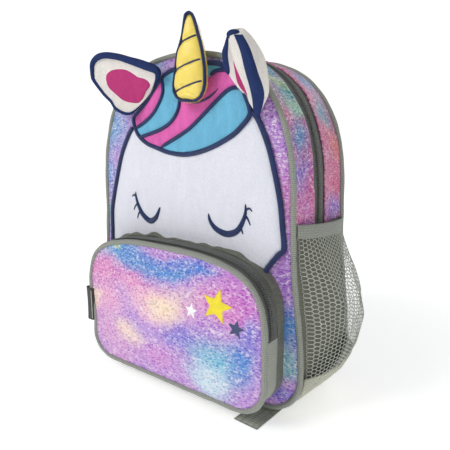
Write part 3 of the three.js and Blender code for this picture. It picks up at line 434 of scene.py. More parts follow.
def shapedGrid(name, columns, rows, place, size=(100, 100), wall=0.0, outward=None):
    bm = bmesh.new()
    uvLayer = bm.loops.layers.uv.new("UVMap")
    bmesh.ops.create_grid(bm, x_segments=columns, y_segments=rows, size=0.5, calc_uvs=True)
    for face in bm.faces:
        for loop in face.loops:
            co = loop.vert.co
            loop[uvLayer].uv = ((co.x + 0.5) * size[0] * mm, (co.y + 0.5) * size[1] * mm)
    for vert in bm.verts:
        vert.co = Vector(place(vert.co.x + 0.5, vert.co.y + 0.5)) * mm
    bmesh.ops.remove_doubles(bm, verts=bm.verts, dist=1e-5)
    bmesh.ops.recalc_face_normals(bm, faces=bm.faces)
    if outward is not None:
        facing = 0
        for face in bm.faces:
            want = outward(face.calc_center_median() / mm) if callable(outward) else outward
            facing += face.normal.dot(Vector(want)) * face.calc_area()
        if facing < 0:
            bmesh.ops.reverse_faces(bm, faces=bm.faces)
    piece = addPiece(name, bm)
    if wall:
        shell = piece.modifiers.new("wall", "SOLIDIFY")
        shell.thickness = wall * mm
        shell.offset = -1
        settle(piece)
    return piece


def dress(piece, finish, slotName, *stoodFor):
    piece.data.materials.clear()
    piece.data.materials.append(finish)
    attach(piece, "root")
    if stoodFor:
        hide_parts(*stoodFor)
    return piece


def bezier(a, b, c, d, count):
    t = np.linspace(0, 1, count)[:, None]
    a, b, c, d = (np.array(p, float) for p in (a, b, c, d))
    return (1 - t) ** 3 * a + 3 * (1 - t) ** 2 * t * b + 3 * (1 - t) * t * t * c + t ** 3 * d


def spline(p0, p1, p2, p3, t):
    return 0.5 * (2 * p1 + (p2 - p0) * t + (2 * p0 - 5 * p1 + 4 * p2 - p3) * t * t
                  + (3 * p1 - p0 - 3 * p2 + p3) * t ** 3)


def smoothPath(rows, count, closed=False):  # evenly spaced points on a spline through the rows
    rows = [np.array(r, float) for r in rows]
    total = len(rows)
    spans = total if closed else total - 1
    samples = []
    for i in range(spans):
        pick = (lambda k: rows[k % total]) if closed else (lambda k: rows[min(max(k, 0), total - 1)])
        around = [pick(i + k) for k in (-1, 0, 1, 2)]
        samples += [spline(*around, t) for t in np.linspace(0, 1, 16, endpoint=False)]
    samples.append(rows[0] if closed else rows[-1])
    samples = np.array(samples)
    far = np.concatenate([[0], np.cumsum(np.linalg.norm(np.diff(samples, axis=0), axis=1))])
    spots = np.linspace(0, far[-1], count + 1)[:-1] if closed else np.linspace(0, far[-1], count)
    return np.stack([np.interp(spots, far, samples[:, k]) for k in range(samples.shape[1])], axis=1)


def makeLoop(points):  # a closed outline in x and z with its outward directions
    points = np.array(points, float)
    steps = np.linalg.norm(np.roll(points, -1, axis=0) - points, axis=1)
    way = np.roll(points, -1, axis=0) - np.roll(points, 1, axis=0)
    way /= np.linalg.norm(way, axis=1)[:, None]
    return {"points": points, "out": np.stack([way[:, 1], -way[:, 0]], axis=1),
            "far": np.concatenate([[0], np.cumsum(steps)]), "length": steps.sum()}


def onLoop(loop, t):
    s = (t % 1.0) * loop["length"]
    i = min(int(np.searchsorted(loop["far"], s, side="right")) - 1, len(loop["points"]) - 1)
    share = (s - loop["far"][i]) / max(loop["far"][i + 1] - loop["far"][i], 1e-9)
    j = (i + 1) % len(loop["points"])
    p = loop["points"][i] * (1 - share) + loop["points"][j] * share
    n = loop["out"][i] * (1 - share) + loop["out"][j] * share
    return p[0], p[1], n[0], n[1]


def offsetLoop(loop, out):
    return makeLoop(loop["points"] + loop["out"] * out)


def mirroredLoop(half, count):
    half = np.array(half)
    whole = np.concatenate([half, half[-2:0:-1] * [-1, 1]])
    steps = np.linalg.norm(np.roll(whole, -1, axis=0) - whole, axis=1)
    far = np.concatenate([[0], np.cumsum(steps)])
    ring = np.concatenate([whole, whole[:1]])
    spots = np.linspace(0, far[-1], count + 1)[:-1]
    return makeLoop(np.stack([np.interp(spots, far, ring[:, k]) for k in (0, 1)], axis=1))


def quarterRound(a, b, fullness, count):
    return bezier(a, (a[0], a[1] + (b[1] - a[1]) * fullness), (b[0] + (a[0] - b[0]) * fullness, b[1]), b,
                  count)


def cornerRound(x, z, radius, count):
    angles = np.linspace(-math.pi / 2, 0, count)
    return np.stack([x + radius * np.cos(angles), z + radius * np.sin(angles)], axis=1)


print("outlines")
bag = {"height": 324, "depth": 94, "halfShoulder": 117.5, "halfHem": 129, "corner": 38, "band": 173,
       "arch": 190, "fullness": 0.69, "lift": 5, "wall": 2, "bulge": 5.6, "backBulge": 3, "crown": 3,
       "piping": 2.6}
pouch = {"halfWidth": 113, "bottom": 13.5, "top": 148.5, "depth": 33, "corner": 30, "zipEnd": 82,
         "fullness": 0.81, "bulge": 5.9, "flare": 5.5, "wall": 2, "zipWidth": 17}
rise = (bag["band"] - bag["corner"] - bag["lift"]) / 3
bagHalf = np.concatenate([
    [[0, bag["lift"]], [45, bag["lift"]]],
    cornerRound(bag["halfHem"] - bag["corner"], bag["lift"] + bag["corner"], bag["corner"], 24),
    bezier((bag["halfHem"], bag["lift"] + bag["corner"]),
           (bag["halfHem"], bag["lift"] + bag["corner"] + rise),
           (bag["halfShoulder"] + 0.4, bag["band"] - rise), (bag["halfShoulder"] + 0.4, bag["band"]), 24)[1:],
    quarterRound((bag["halfShoulder"], bag["arch"]), (0, bag["height"]), bag["fullness"], 60)])
bagLoop = mirroredLoop(bagHalf, 480)
pouchHalf = np.concatenate([
    [[0, pouch["bottom"]], [45, pouch["bottom"]]],
    cornerRound(pouch["halfWidth"] - pouch["corner"], pouch["bottom"] + pouch["corner"], pouch["corner"], 20),
    [[pouch["halfWidth"], 60]],
    quarterRound((pouch["halfWidth"], pouch["zipEnd"]), (0, pouch["top"]), pouch["fullness"], 50)])
pouchLoop = mirroredLoop(pouchHalf, 400)
drawnIn = (5.5 * np.exp(-((pouchLoop["points"][:, 1] - 52) / 27) ** 2)
           * np.clip((-pouchLoop["points"][:, 0] - 40) / 60, 0, 1))
pouchLoop = makeLoop(pouchLoop["points"] + np.stack([drawnIn, 0 * drawnIn], axis=1))
bagHub, pouchHub = (0, (bag["height"] + bag["lift"]) / 2), (0, (pouch["top"] + pouch["bottom"]) / 2)
frontPlane, backPlane = -bag["depth"] / 2, bag["depth"] / 2
pouchPlane = frontPlane - pouch["depth"]
seam = bag["piping"] + 0.35


def shareTable(loop, hub):  # how far out a point lies between the hub and the outline
    away = loop["points"] - hub
    angles = np.arctan2(away[:, 1], away[:, 0])
    order = np.argsort(angles)
    angles, radii = angles[order], np.linalg.norm(away, axis=1)[order]

    def share(x, z):
        x, z = x - hub[0], z - hub[1]
        return np.hypot(x, z) / np.interp(np.arctan2(z, x), angles, radii, period=2 * math.pi)
    return share


def domed(share):
    return 1 - np.minimum(share, 1) ** 2.6


bagShare = shareTable(offsetLoop(bagLoop, -seam), bagHub)
pouchShare = shareTable(offsetLoop(pouchLoop, -seam), pouchHub)


def ripple(x, y, z, size, depth, seed=0.0):  # soft unevenness of cloth
    return depth * noise.noise(Vector((x / size + seed, y / size + seed * 1.7, z / size - seed)))


def frontAt(x, z):
    return frontPlane - bag["wall"] / 2 - bag["bulge"] * domed(bagShare(x, z))


def backAt(x, z):
    return backPlane + bag["wall"] / 2 + bag["backBulge"] * domed(bagShare(x, z))


def pouchAt(x, z):
    share = pouchShare(x, z)
    fade = max(0.0, 1 - share ** 3)
    return (pouchPlane - pouch["wall"] / 2 - pouch["bulge"] * domed(share)
            + fade * (ripple(x, 0, z, 55, 1.6, 3.1) + ripple(x, 0, z, 22, 0.5, 7.7)))


bagCreases = [  # side, height and depth as shares of the bag's, how deep, how wide
    (1, 0.66, -0.30, 1.6, 16), (1, 0.62, 0.28, 2.2, 20), (1, 0.84, 0.30, 1.4, 18), (-1, 0.64, 0.26, 2.0, 20),
    (-1, 0.80, -0.30, 1.4, 17),
]


def gussetOut(x, z, y):
    out = bag["crown"] * (1 - (y / backPlane) ** 2)
    for side, up, across, deep, wide in bagCreases:
        if x * side > 0:
            far = math.hypot(z - up * bag["height"], y - across * bag["depth"])
            out -= deep * math.exp(-(far / wide) ** 2)
    return out


def loopShareAt(loop, level):  # where the outline's right side passes a height
    points, half = loop["points"], len(loop["points"]) // 2
    for i in range(1, half):
        if points[i, 0] > 60 and points[i, 1] >= level:
            return loop["far"][i] / loop["length"]


bandShare = loopShareAt(bagLoop, bag["band"])
zipShare = loopShareAt(pouchLoop, pouch["zipEnd"])


def polarPanel(name, loop, hub, rings, columns, depthAt, wall, side):
    def place(u, w):
        x, z, _, _ = onLoop(loop, u)
        x, z = hub[0] + (x - hub[0]) * w, hub[1] + (z - hub[1]) * w
        return x, depthAt(x, z), z
    return shapedGrid(name, columns, rings, place, (loop["length"], 100), wall, (0, side, 0))


def pipingRing(name, loop, plane, radius):
    def place(u, w):
        x, z, nx, nz = onLoop(loop, u)
        turn = w * 2 * math.pi
        fat = radius * (1 + ripple(x, plane, z, 14, 0.16, 2.2))
        out = fat * math.cos(turn) + ripple(x, plane, z, 40, 0.5, 5.5)
        return x + nx * out, plane + fat * math.sin(turn), z + nz * out
    return shapedGrid(name, 420, 12, place, (loop["length"], 2 * math.pi * radius))


def loopStrip(name, loop, start, end, steps, lanes, yFrom, yTo, outAt, wall):
    length = (end - start) * loop["length"]

    def place(u, w):
        x, z, nx, nz = onLoop(loop, start + (end - start) * u)
        y = yFrom(x, z) + (yTo(x, z) - yFrom(x, z)) * w if callable(yFrom) else yFrom + (yTo - yFrom) * w
        out = outAt(x, z, y, w)
        return x + nx * out, y, z + nz * out
    hubZ = (bag["height"] if loop is bagLoop else pouch["top"]) / 2
    return shapedGrid(name, steps, lanes, place, (length, 30), wall, lambda p: (p.x, 0, p.z - hubZ))


print("body panels")
flatCount = 1
frontPanel = polarPanel("front_cloth", offsetLoop(bagLoop, -1.4), bagHub, 26, 220 // flatCount, frontAt,
                        bag["wall"], -1)
dress(frontPanel, frontPrint, "print", "front_panel")
backPanel = polarPanel("back_cloth", offsetLoop(bagLoop, -1.4), bagHub, 26, 220 // flatCount, backAt,
                       bag["wall"], 1)
dress(backPanel, backCloth, "lining", "back_panel")
dress(pipingRing("front_binding", bagLoop, frontPlane, bag["piping"]), bindingCloth, "piping", "front_piping")
dress(pipingRing("back_binding", bagLoop, backPlane, bag["piping"]), bindingCloth, "piping", "back_piping")

zipRow = {"centre": -5.5, "halfGap": 10.4, "pitch": 2.0}


def gapAt(x, z):  # the gusset pulls away from the zip near the top of the right side
    return zipRow["halfGap"] + 4.0 * math.exp(-(((x - 82) / 22) ** 2 + ((z - 284) / 16) ** 2))


def gussetFace(x, z, y, w):
    lip = 1.1 * math.exp(-((abs(y - zipRow["centre"]) - gapAt(x, z) - 1.2) / 2.4) ** 2)
    return (gussetOut(x, z, y) + lip + ripple(x, y, z, 24, 1.1, 1.3) * math.sin(math.pi * w)
            + ripple(x, y, z, 8, 0.35, 4.4))


frontGusset = loopStrip("front_gusset_cloth", bagLoop, bandShare, 1 - bandShare, 260, 14,
                        lambda x, z: frontPlane + 1.4, lambda x, z: zipRow["centre"] - gapAt(x, z),
                        gussetFace, 1.4)
dress(frontGusset, sidePrint, "print", "gusset_front")
backGusset = loopStrip("back_gusset_cloth", bagLoop, bandShare, 1 - bandShare, 260, 16,
                       lambda x, z: zipRow["centre"] + gapAt(x, z), lambda x, z: backPlane - 1.4,
                       gussetFace, 1.4)
dress(backGusset, sidePrint, "print", "gusset_back")


def tapeFace(x, z, y, w):
    return gussetOut(x, z, y) - 0.9 - 0.5 * (1 - abs(2 * w - 1))


mainTape = loopStrip("main_zip_tape", bagLoop, bandShare, 1 - bandShare, 260, 8,
                     lambda x, z: zipRow["centre"] - gapAt(x, z) - 2,
                     lambda x, z: zipRow["centre"] + gapAt(x, z) + 2, tapeFace, 0.9)
dress(mainTape, zipTape, "zip_tape", "main_zip")


def placedCopies(name, blank, places):  # many small copies of one little shape
    bm = bmesh.new()
    for matrix in places:
        blank(bm, matrix)
    return addPiece(name, bm)


def bead(bm, matrix):
    bmesh.ops.create_icosphere(bm, subdivisions=1, radius=1, matrix=matrix)


def alignedTo(centre, along, up, scale):
    along, up = Vector(along).normalized(), Vector(up).normalized()
    across = up.cross(along).normalized()
    up = along.cross(across)
    turn = Matrix((along, across, up)).transposed().to_4x4()
    return (Matrix.Translation(Vector(centre) * mm) @ turn
            @ Matrix.Diagonal(Vector([s * mm for s in scale] + [1])))


def coilPlaces(pointAt, length, pitch, size, offsetY):
    places = []
    count = int(length / pitch)
    for k in range(count):
        for side in (-1, 1):
            centre, out = pointAt((k + 0.25 * side + 0.5) / count)
            shifted = Vector(centre) + Vector((0, side * offsetY, 0))
            places.append(alignedTo(shifted, (0, 1, 0), out, size))
    return places


def mainCoilAt(t):
    x, z, nx, nz = onLoop(bagLoop, bandShare + 0.002 + (1 - 2 * bandShare - 0.004) * t)
    out = gussetOut(x, z, zipRow["centre"]) + 0.5
    return (x + nx * out, zipRow["centre"], z + nz * out), (nx, 0, nz)


mainLength = (1 - 2 * bandShare) * bagLoop["length"]
mainCoil = placedCopies("main_zip_coil", bead,
                        coilPlaces(mainCoilAt, mainLength, zipRow["pitch"], (2.1, 0.66, 1.0), 1.4))
dress(mainCoil, coilNylon, "zip_tape")


def lowerFace(x, z, y):
    flat = 0 if z <= bag["lift"] + 0.01 else min(1, z / (bag["lift"] + bag["corner"]))
    return gussetOut(x, z, y) * flat + ripple(x, y, z, 20, 1.2, 8.1) * flat


def lowerPlace(u, w):
    t = (1 - bandShare) + 2 * bandShare * u
    x, z, nx, nz = onLoop(bagLoop, t)
    y = frontPlane + 1.4 + (backPlane - frontPlane - 2.8) * w
    out = lowerFace(x, z, y)
    settled = min(1.0, max(0.0, (74 - abs(x)) / 12 + 0.5)) if z < bag["lift"] + 0.5 else 0.0
    flatten = bag["lift"] * settled
    return x + nx * out, y, z + nz * out - flatten


lowerGusset = shapedGrid("lower_gusset_cloth", 240, 24, lowerPlace, (2 * bandShare * bagLoop["length"], 94),
                         1.6, lambda p: (p.x, 0, p.z - 120))
dress(lowerGusset, innerCloth, "lining", "side_gusset")

print("front pocket")
pouchFront = polarPanel("pocket_cloth", offsetLoop(pouchLoop, -1.4), pouchHub, 30, 240 // flatCount, pouchAt,
                        pouch["wall"], -1)
dress(pouchFront, pocketPrint, "print", "pocket_front")
dress(pipingRing("pocket_binding", pouchLoop, pouchPlane, bag["piping"]), bindingCloth, "piping",
      "pocket_piping")
for starName, (x0, z0), reach, turned, ink in starInks:
    corners = [(x0 + r * reach * math.cos(math.radians(turned + 36 * k)),
                z0 + r * reach * math.sin(math.radians(turned + 36 * k)))
               for k, r in enumerate([1, 0.42] * 5)]
    edge = [np.array(corners[k]) * (1 - t) + np.array(corners[(k + 1) % 10]) * t for k in range(10)
            for t in (0.04, 0.2, 0.4, 0.6, 0.8, 0.96)]
    star = polarPanel(starName, makeLoop(edge), (x0, z0), 8, 60, lambda x, z: pouchAt(x, z) - 0.22, 0.3, -1)
    dress(star, ink, "print")
pouchZipFront = pouchPlane + 1.6
pouchZipBack = pouchPlane + seam + pouch["zipWidth"]


def flareAt(nz, y):
    return pouch["flare"] * max(0, nz) * ((y - pouchPlane) / pouch["depth"])


def pouchStrip(name, start, end, steps, lanes, yFrom, yTo, extra, wall):
    length = (end - start) * pouchLoop["length"]

    def place(u, w):
        x, z, nx, nz = onLoop(pouchLoop, start + (end - start) * u)
        far = yTo(x, z) if callable(yTo) else yTo
        y = yFrom + (far - yFrom) * w
        out = flareAt(nz, y) + extra(x, z, y, w)
        return x + nx * out, y, z + nz * out
    return shapedGrid(name, steps, lanes, place, (length, 20), wall, lambda p: (p.x, 0, p.z - 80))


pouchTape = pouchStrip("pocket_zip_tape", zipShare, 1 - zipShare, 220, 8, pouchZipFront, pouchZipBack,
                       lambda x, z, y, w: -0.6 - 0.5 * (1 - abs(2 * w - 1)), 0.9)
dress(pouchTape, zipTape, "zip_tape", "pocket_zip")
pouchZipLine = pouchPlane + seam + 7.5


def pouchCoilAt(t):
    x, z, nx, nz = onLoop(pouchLoop, zipShare + 0.002 + (1 - 2 * zipShare - 0.004) * t)
    out = flareAt(nz, pouchZipLine) + 0.9
    return (x + nx * out, pouchZipLine, z + nz * out), (nx, 0, nz)


pouchLength = (1 - 2 * zipShare) * pouchLoop["length"]
pouchCoil = placedCopies("pocket_zip_coil", bead,
                         coilPlaces(pouchCoilAt, pouchLength, zipRow["pitch"], (2.1, 0.66, 1.1), 1.5))
dress(pouchCoil, coilNylon, "zip_tape")
pouchWeb = pouchStrip("pocket_side_webbing", 1 - zipShare, 1 + zipShare, 260, 6, pouchZipFront, pouchZipBack,
                      lambda x, z, y, w: ripple(x, y, z, 18, 0.5, 6.6), 1.4)
dress(pouchWeb, webbingCloth, "webbing", "pocket_webbing")


def crumple(x, z, y, w):
    strong = 0.8 + 2.0 * min(1, max(0, (z - 70) / 30))
    return (ripple(x, y, z, 11, strong, 9.2) + ripple(x, y, z, 26, strong, 2.9)) * math.sin(math.pi * w)


pouchSide = pouchStrip("pocket_gusset_cloth", 0, 1, 360, 10, pouchZipBack, lambda x, z: frontAt(x, z) + 0.6,
                       crumple, 1.2)
dress(pouchSide, oliveCloth, "lining", "pocket_gusset")

print("face and mane")
faceSize = {"halfWidth": 111, "height": 157, "low": 118.5, "thick": 2.0, "gap": 0.35}
maneSize = {"halfWidth": 70.5, "height": 81, "aside": 6, "low": 233, "thick": 2.3}
faceRight = [(0.8, 0.02), (0.85, 0.11), (0.95, 0.21), (1, 0.25), (0.985, 0.37), (0.96, 0.51), (0.91, 0.66),
             (0.85, 0.8), (0.76, 0.93), (0.7, 0.98)]
faceLeft = [(-0.60, 0.895), (-0.68, 0.83), (-0.78, 0.71), (-0.85, 0.58), (-0.92, 0.44), (-0.965, 0.33),
            (-0.975, 0.2), (-0.97, 0.08), (-0.85, 0.01)]
faceRows = [(0, 0)] + faceRight + [(0.5, 0.95), (0, 0.9), (-0.4, 0.9)] + faceLeft
maneRows = [(-1, 0.41), (-0.88, 0.51), (-0.71, 0.63), (-0.57, 0.77), (-0.44, 0.88), (-0.3, 0.945),
            (-0.12, 0.97), (0.1, 0.985), (0.32, 1), (0.5, 0.985), (0.67, 0.93), (0.78, 0.86), (0.9, 0.69),
            (1, 0.5), (0.985, 0.42), (0.90, 0.335), (0.77, 0.24), (0.525, 0.13), (0.26, 0.05), (-0.01, 0.01),
            (-0.29, 0.025), (-0.51, 0.07), (-0.74, 0.13), (-0.92, 0.24)]


def facePoint(row):
    return row[0] * faceSize["halfWidth"], faceSize["low"] + row[1] * faceSize["height"]


def manePoint(row):
    return maneSize["aside"] + row[0] * maneSize["halfWidth"], maneSize["low"] + row[1] * maneSize["height"]


faceLoop = makeLoop(smoothPath([facePoint(r) for r in faceRows], 300, True))
maneLoop = makeLoop(smoothPath([manePoint(r) for r in maneRows[::-1]], 300, True))
faceHub, maneHub = (0, 189), (6, 273.5)
faceShare = shareTable(faceLoop, faceHub)


def faceAt(x, z):
    share = faceShare(x, z)
    roll = faceSize["thick"] * (1 - min(1, share) ** 16)
    soft = ripple(x, 0, z, 42, 0.9, 6.1) + ripple(x, 0, z, 15, 0.25, 3.3)
    return frontAt(x, z) - faceSize["gap"] - roll - soft * max(0, 1 - share ** 4)


faceCloth = polarPanel("face_plush", offsetLoop(faceLoop, -0.6), faceHub, 30, 240 // flatCount, faceAt, 1.5,
                       -1)
dress(faceCloth, whitePlush, "white_plush", "face_panel")


def ridgeGrid(path, widthAt, tall, under, closed):
    path = np.array(path, float)
    way = np.gradient(path, axis=0)
    if closed:
        way = np.roll(path, -1, axis=0) - np.roll(path, 1, axis=0)
    way /= np.linalg.norm(way, axis=1)[:, None]
    count = len(path) if closed else len(path) - 1
    length = np.linalg.norm(np.diff(path, axis=0), axis=1).sum()

    def place(u, w):
        s = u * count
        i = int(min(s, count - 1e-6)) if not closed else int(s) % len(path)
        j = (i + 1) % len(path)
        f = s - int(min(s, count - 1e-6)) if not closed else s - int(s)
        x, z = path[i] * (1 - f) + path[j] * f
        nx, nz = way[i][1] * (1 - f) + way[j][1] * f, -way[i][0] * (1 - f) - way[j][0] * f
        size = widthAt(u)
        turn = w * 2 * math.pi
        across = math.cos(turn) * size / 2
        lift = math.sin(turn) * (tall if math.sin(turn) > 0 else 0.6) * min(1, size / 2.5)
        px, pz = x + nx * across, z + nz * across
        return px, under(px, pz) - lift, pz
    return place, count, length


def satinRidge(name, path, width, tall, under, closed=False, widthAt=None):
    if widthAt is None:
        widthAt = (lambda u: width) if closed else (lambda u: width * min(1, 60 * u, 60 * (1 - u)))
    place, count, length = ridgeGrid(path, widthAt, tall, under, closed)
    return shapedGrid(name, min(count, 400), 14, place, (length, 2.5 * width))


def faceTop(x, z):
    return frontAt(x, z) - 1.4


def joined(name, pieces):
    bm = bmesh.new()
    for piece in pieces:
        bm.from_mesh(piece.data)
        bpy.data.objects.remove(piece)
    return addPiece(name, bm)


edgeRight = satinRidge("face_stitch_right", smoothPath([facePoint(r) for r in faceRight], 200), 4.8, 2.4,
                       faceTop)
dress(edgeRight, navyThread, "navy_thread", "face_edge_right")
edgeLeft = satinRidge("face_stitch_left", smoothPath([facePoint(r) for r in faceLeft], 200), 4.8, 2.4,
                      faceTop)
dress(edgeLeft, navyThread, "navy_thread", "face_edge_left")
maneTop = lambda x, z: frontAt(x, z) - 2.4
maneEdge = satinRidge("mane_stitch", maneLoop["points"], 4.7, 2.2, maneTop, True)
dress(maneEdge, navyThread, "navy_thread", "mane_edge")

partings = [
    [(-0.44, 0.89), (-0.42, 0.7), (-0.57, 0.5), (-0.76, 0.38), (-0.96, 0.30)],
    [(-0.15, 0.95), (-0.1, 0.62), (-0.2, 0.42), (-0.42, 0.3), (-0.83, 0.2), (-0.90, 0.18)],
    [(0.93, 0.66), (0.86, 0.715), (0.76, 0.725), (0.67, 0.70), (0.57, 0.64), (0.3, 0.45), (0.07, 0.3),
     (-0.2, 0.18), (-0.44, 0.085)],
    [(0.40, 0.87), (0.47, 0.905), (0.56, 0.917), (0.66, 0.905), (0.74, 0.875)],
]
partingPaths = [smoothPath([manePoint(r) for r in rows], 120) for rows in partings]
smile = smoothPath([(-10, 294.5), (3, 284.7), (12, 281.5), (21, 280.5), (33, 284.0), (40.5, 288.6),
                    (44, 292)], 80)
lineWidth = lambda u: 3.5 * min(1, 6 * u + 0.5, 6 * (1 - u) + 0.5) * min(1, 80 * u, 80 * (1 - u))
smileWidth = lambda u: 2.2 * min(1, 4 * u + 0.3, 4 * (1 - u) + 0.3) * min(1, 80 * u, 80 * (1 - u))
lines = [satinRidge("line", path, 3.5, 1.6, lambda x, z: frontAt(x, z) - 3.0, widthAt=lineWidth)
         for path in partingPaths]
lines.append(satinRidge("smile", smile, 2.2, 1.3, lambda x, z: frontAt(x, z) - 3.8, widthAt=smileWidth))
dress(joined("mane_lines", lines), navyThread, "navy_thread")
topLeft, bottomRight = manePoint((-1.6, 1.4)), manePoint((1.4, -0.4))
stretchedPaths = [
    [manePoint((-0.45, 1.3))] + list(map(tuple, partingPaths[0])) + [manePoint((-1.4, 0.1))],
    [manePoint((-0.15, 1.3))] + list(map(tuple, partingPaths[1])) + [manePoint((-1.4, -0.1))],
    [manePoint((1.4, 0.74))] + list(map(tuple, partingPaths[2])) + [manePoint((-0.75, -0.4))],
]
lockAreas = {
    "mane_pink_left": stretchedPaths[0] + [topLeft],
    "mane_blue_left": stretchedPaths[1] + stretchedPaths[0][::-1],
    "mane_blue_right": stretchedPaths[2] + [bottomRight],
}


def within(area, x, z):
    hits, last = False, area[-1]
    for here in area:
        if ((here[1] > z) != (last[1] > z)
                and x < (last[0] - here[0]) * (z - here[1]) / (last[1] - here[1]) + here[0]):
            hits = not hits
        last = here
    return hits


def lockOf(x, z):
    if x > 24 and z > np.interp(x, partingPaths[3][:, 0], partingPaths[3][:, 1], left=302):
        return "mane_blue_left"
    return next((name for name, area in lockAreas.items() if within(area, x, z)), "mane_pink_right")


partingPoints = np.concatenate(partingPaths)
maneShare = shareTable(maneLoop, maneHub)


def maneAt(x, z):
    near = min(np.hypot(partingPoints[:, 0] - x, partingPoints[:, 1] - z).min(),
               60 * max(0, 1 - maneShare(x, z)))
    puff = maneSize["thick"] * (1 - math.exp(-near / 4.5))
    return frontAt(x, z) - 2.0 - puff - ripple(x, 0, z, 12, 0.35, 1.9)


for lockName in ("mane_pink_left", "mane_blue_left", "mane_pink_right", "mane_blue_right"):
    lock = polarPanel(lockName + "_plush", offsetLoop(maneLoop, -1.0), maneHub, 46 // flatCount,
                      220 // flatCount, maneAt, 0, -1)
    bm = bmesh.new()
    bm.from_mesh(lock.data)
    away = [f for f in bm.faces
            if lockOf(f.calc_center_median().x / mm, f.calc_center_median().z / mm) != lockName]
    bmesh.ops.delete(bm, geom=away, context="FACES")
    bm.to_mesh(lock.data)
    bm.free()
    shell = lock.modifiers.new("wall", "SOLIDIFY")
    shell.thickness, shell.offset = 1.2 * mm, -1
    dress(settle(lock), pinkPlush if "pink" in lockName else bluePlush,
          "pink_plush" if "pink" in lockName else "blue_plush", lockName)

print("eyes")
eyeRows = {  # crescent, then its lashes, in x and z
    "eye_right": ([(34, 181.5), (36.5, 174), (43.5, 167.5), (55, 164.6), (65.5, 168.5), (71.5, 177.5),
                   (74.4, 186), (74.3, 194)],
                  [[(75, 188.6), (78.3, 190), (81, 187.4)], [(73.5, 184), (76.4, 181), (79.4, 174.8)],
                   [(67.5, 174), (70, 171.6), (72, 166)]]),
    "eye_left": ([(-27.4, 181.2), (-33.4, 170.4), (-43, 165.2), (-53.8, 170.6), (-60.2, 179.7),
                  (-62.9, 186.8), (-64, 193.6)],
                 [[(-63.6, 188.2), (-67, 189.8), (-69.8, 187.4)],
                  [(-61.6, 181), (-65, 178.4), (-68.2, 173.4)],
                  [(-57, 174), (-60, 171.2), (-62.6, 165)]]),
}


def crescent(u):
    return 5.8 * math.sin(math.pi * u ** 0.9) ** 0.85 * (1 - 0.25 * u) + 0.9 * min(1, 40 * u, 40 * (1 - u))


for eyeName, (lid, lashes) in eyeRows.items():
    eyeUnder = lambda x, z: faceAt(x, z) - 0.1
    parts = [satinRidge("lid", smoothPath(lid, 90), 5.5, 1.5, eyeUnder, widthAt=crescent)]
    for lash in lashes:
        parts.append(satinRidge("lash", smoothPath(lash, 24), 2.2, 1.2, eyeUnder,
                                widthAt=lambda u: (2.3 - 1.2 * u) * min(1, 12 * u, 12 * (1 - u))))
    dress(joined(eyeName + "_stitch", parts), navyThread, "navy_thread", eyeName)

print("horn")
hornSize = {"length": 73.5, "halfWidth": 18.4, "halfDepth": 10, "aside": 20, "low": 281, "centre": -63.0}
hornRows = np.array([  # up, left, right, depth as shares
    (0, 0, 0, 0), (0.015, 0.38, 0.40, 0.3), (0.05, 0.68, 0.68, 0.6), (0.12, 0.87, 0.87, 0.85),
    (0.2, 0.88, 0.95, 1.0), (0.36, 0.76, 0.95, 1.0), (0.5, 0.64, 0.86, 0.94), (0.57, 0.58, 0.80, 0.88),
    (0.66, 0.40, 0.70, 0.78), (0.757, 0.25, 0.56, 0.66), (0.84, 0.18, 0.46, 0.55), (0.92, 0.11, 0.34, 0.42),
    (0.97, 0.06, 0.22, 0.26), (1, 0, 0.04, 0)])
hornLines = [(332.0, 0.32), (311.2, 0.28), (293.4, 0.26)]  # height at the middle, slope


def hornPinch(x, z):
    pressed = 0
    for level, slope in hornLines:
        pressed += math.exp(-((z - level - slope * (x - hornSize["aside"])) / 2.6) ** 2)
    return 1 - 0.30 * min(1, pressed)


def hornPlace(u, w):
    left, right, deep = (np.interp(w, hornRows[:, 0], hornRows[:, k]) for k in (1, 2, 3))
    turn = u * 2 * math.pi
    c, s = math.cos(turn), math.sin(turn)
    x = hornSize["aside"] + c * hornSize["halfWidth"] * (right if c > 0 else left)
    z = hornSize["low"] + w * hornSize["length"]
    fat = hornPinch(x, z) if s < 0 else 1
    y = hornSize["centre"] + math.copysign(abs(s) ** 0.8, s) * hornSize["halfDepth"] * deep * fat
    return x, y + ripple(x, y, z, 9, 0.5, 2.4) * deep, z


hornBody = shapedGrid("horn_satin", 56, 90, hornPlace, (90, 76), 0, lambda p: (p.x - 20, p.y + 63, 0))


def hornFront(x, z):
    w = min(max((z - hornSize["low"]) / hornSize["length"], 0.001), 0.999)
    left, right, deep = (np.interp(w, hornRows[:, 0], hornRows[:, k]) for k in (1, 2, 3))
    reach = hornSize["halfWidth"] * (right if x > hornSize["aside"] else left)
    c = min(1, abs(x - hornSize["aside"]) / max(reach, 0.1))
    return hornSize["centre"] - math.sqrt(1 - c * c) ** 0.8 * hornSize["halfDepth"] * deep * hornPinch(x, z)


def hornSide(side, w):
    reach = np.interp(w, hornRows[:, 0], hornRows[:, 1 if side < 0 else 2]) * hornSize["halfWidth"]
    return hornSize["aside"] + side * reach, hornSize["low"] + w * hornSize["length"]


hornFrame = [hornSide(-1, w) for w in np.linspace(0.97, 0.012, 70)]
hornFrame += [hornSide(1, w) for w in np.linspace(0.012, 0.97, 70)]
hornFrame = [(x + 0.4, z) for x, z in hornFrame] + [(21.9, 354.2)]
hornPath = smoothPath(hornFrame, 220, True)


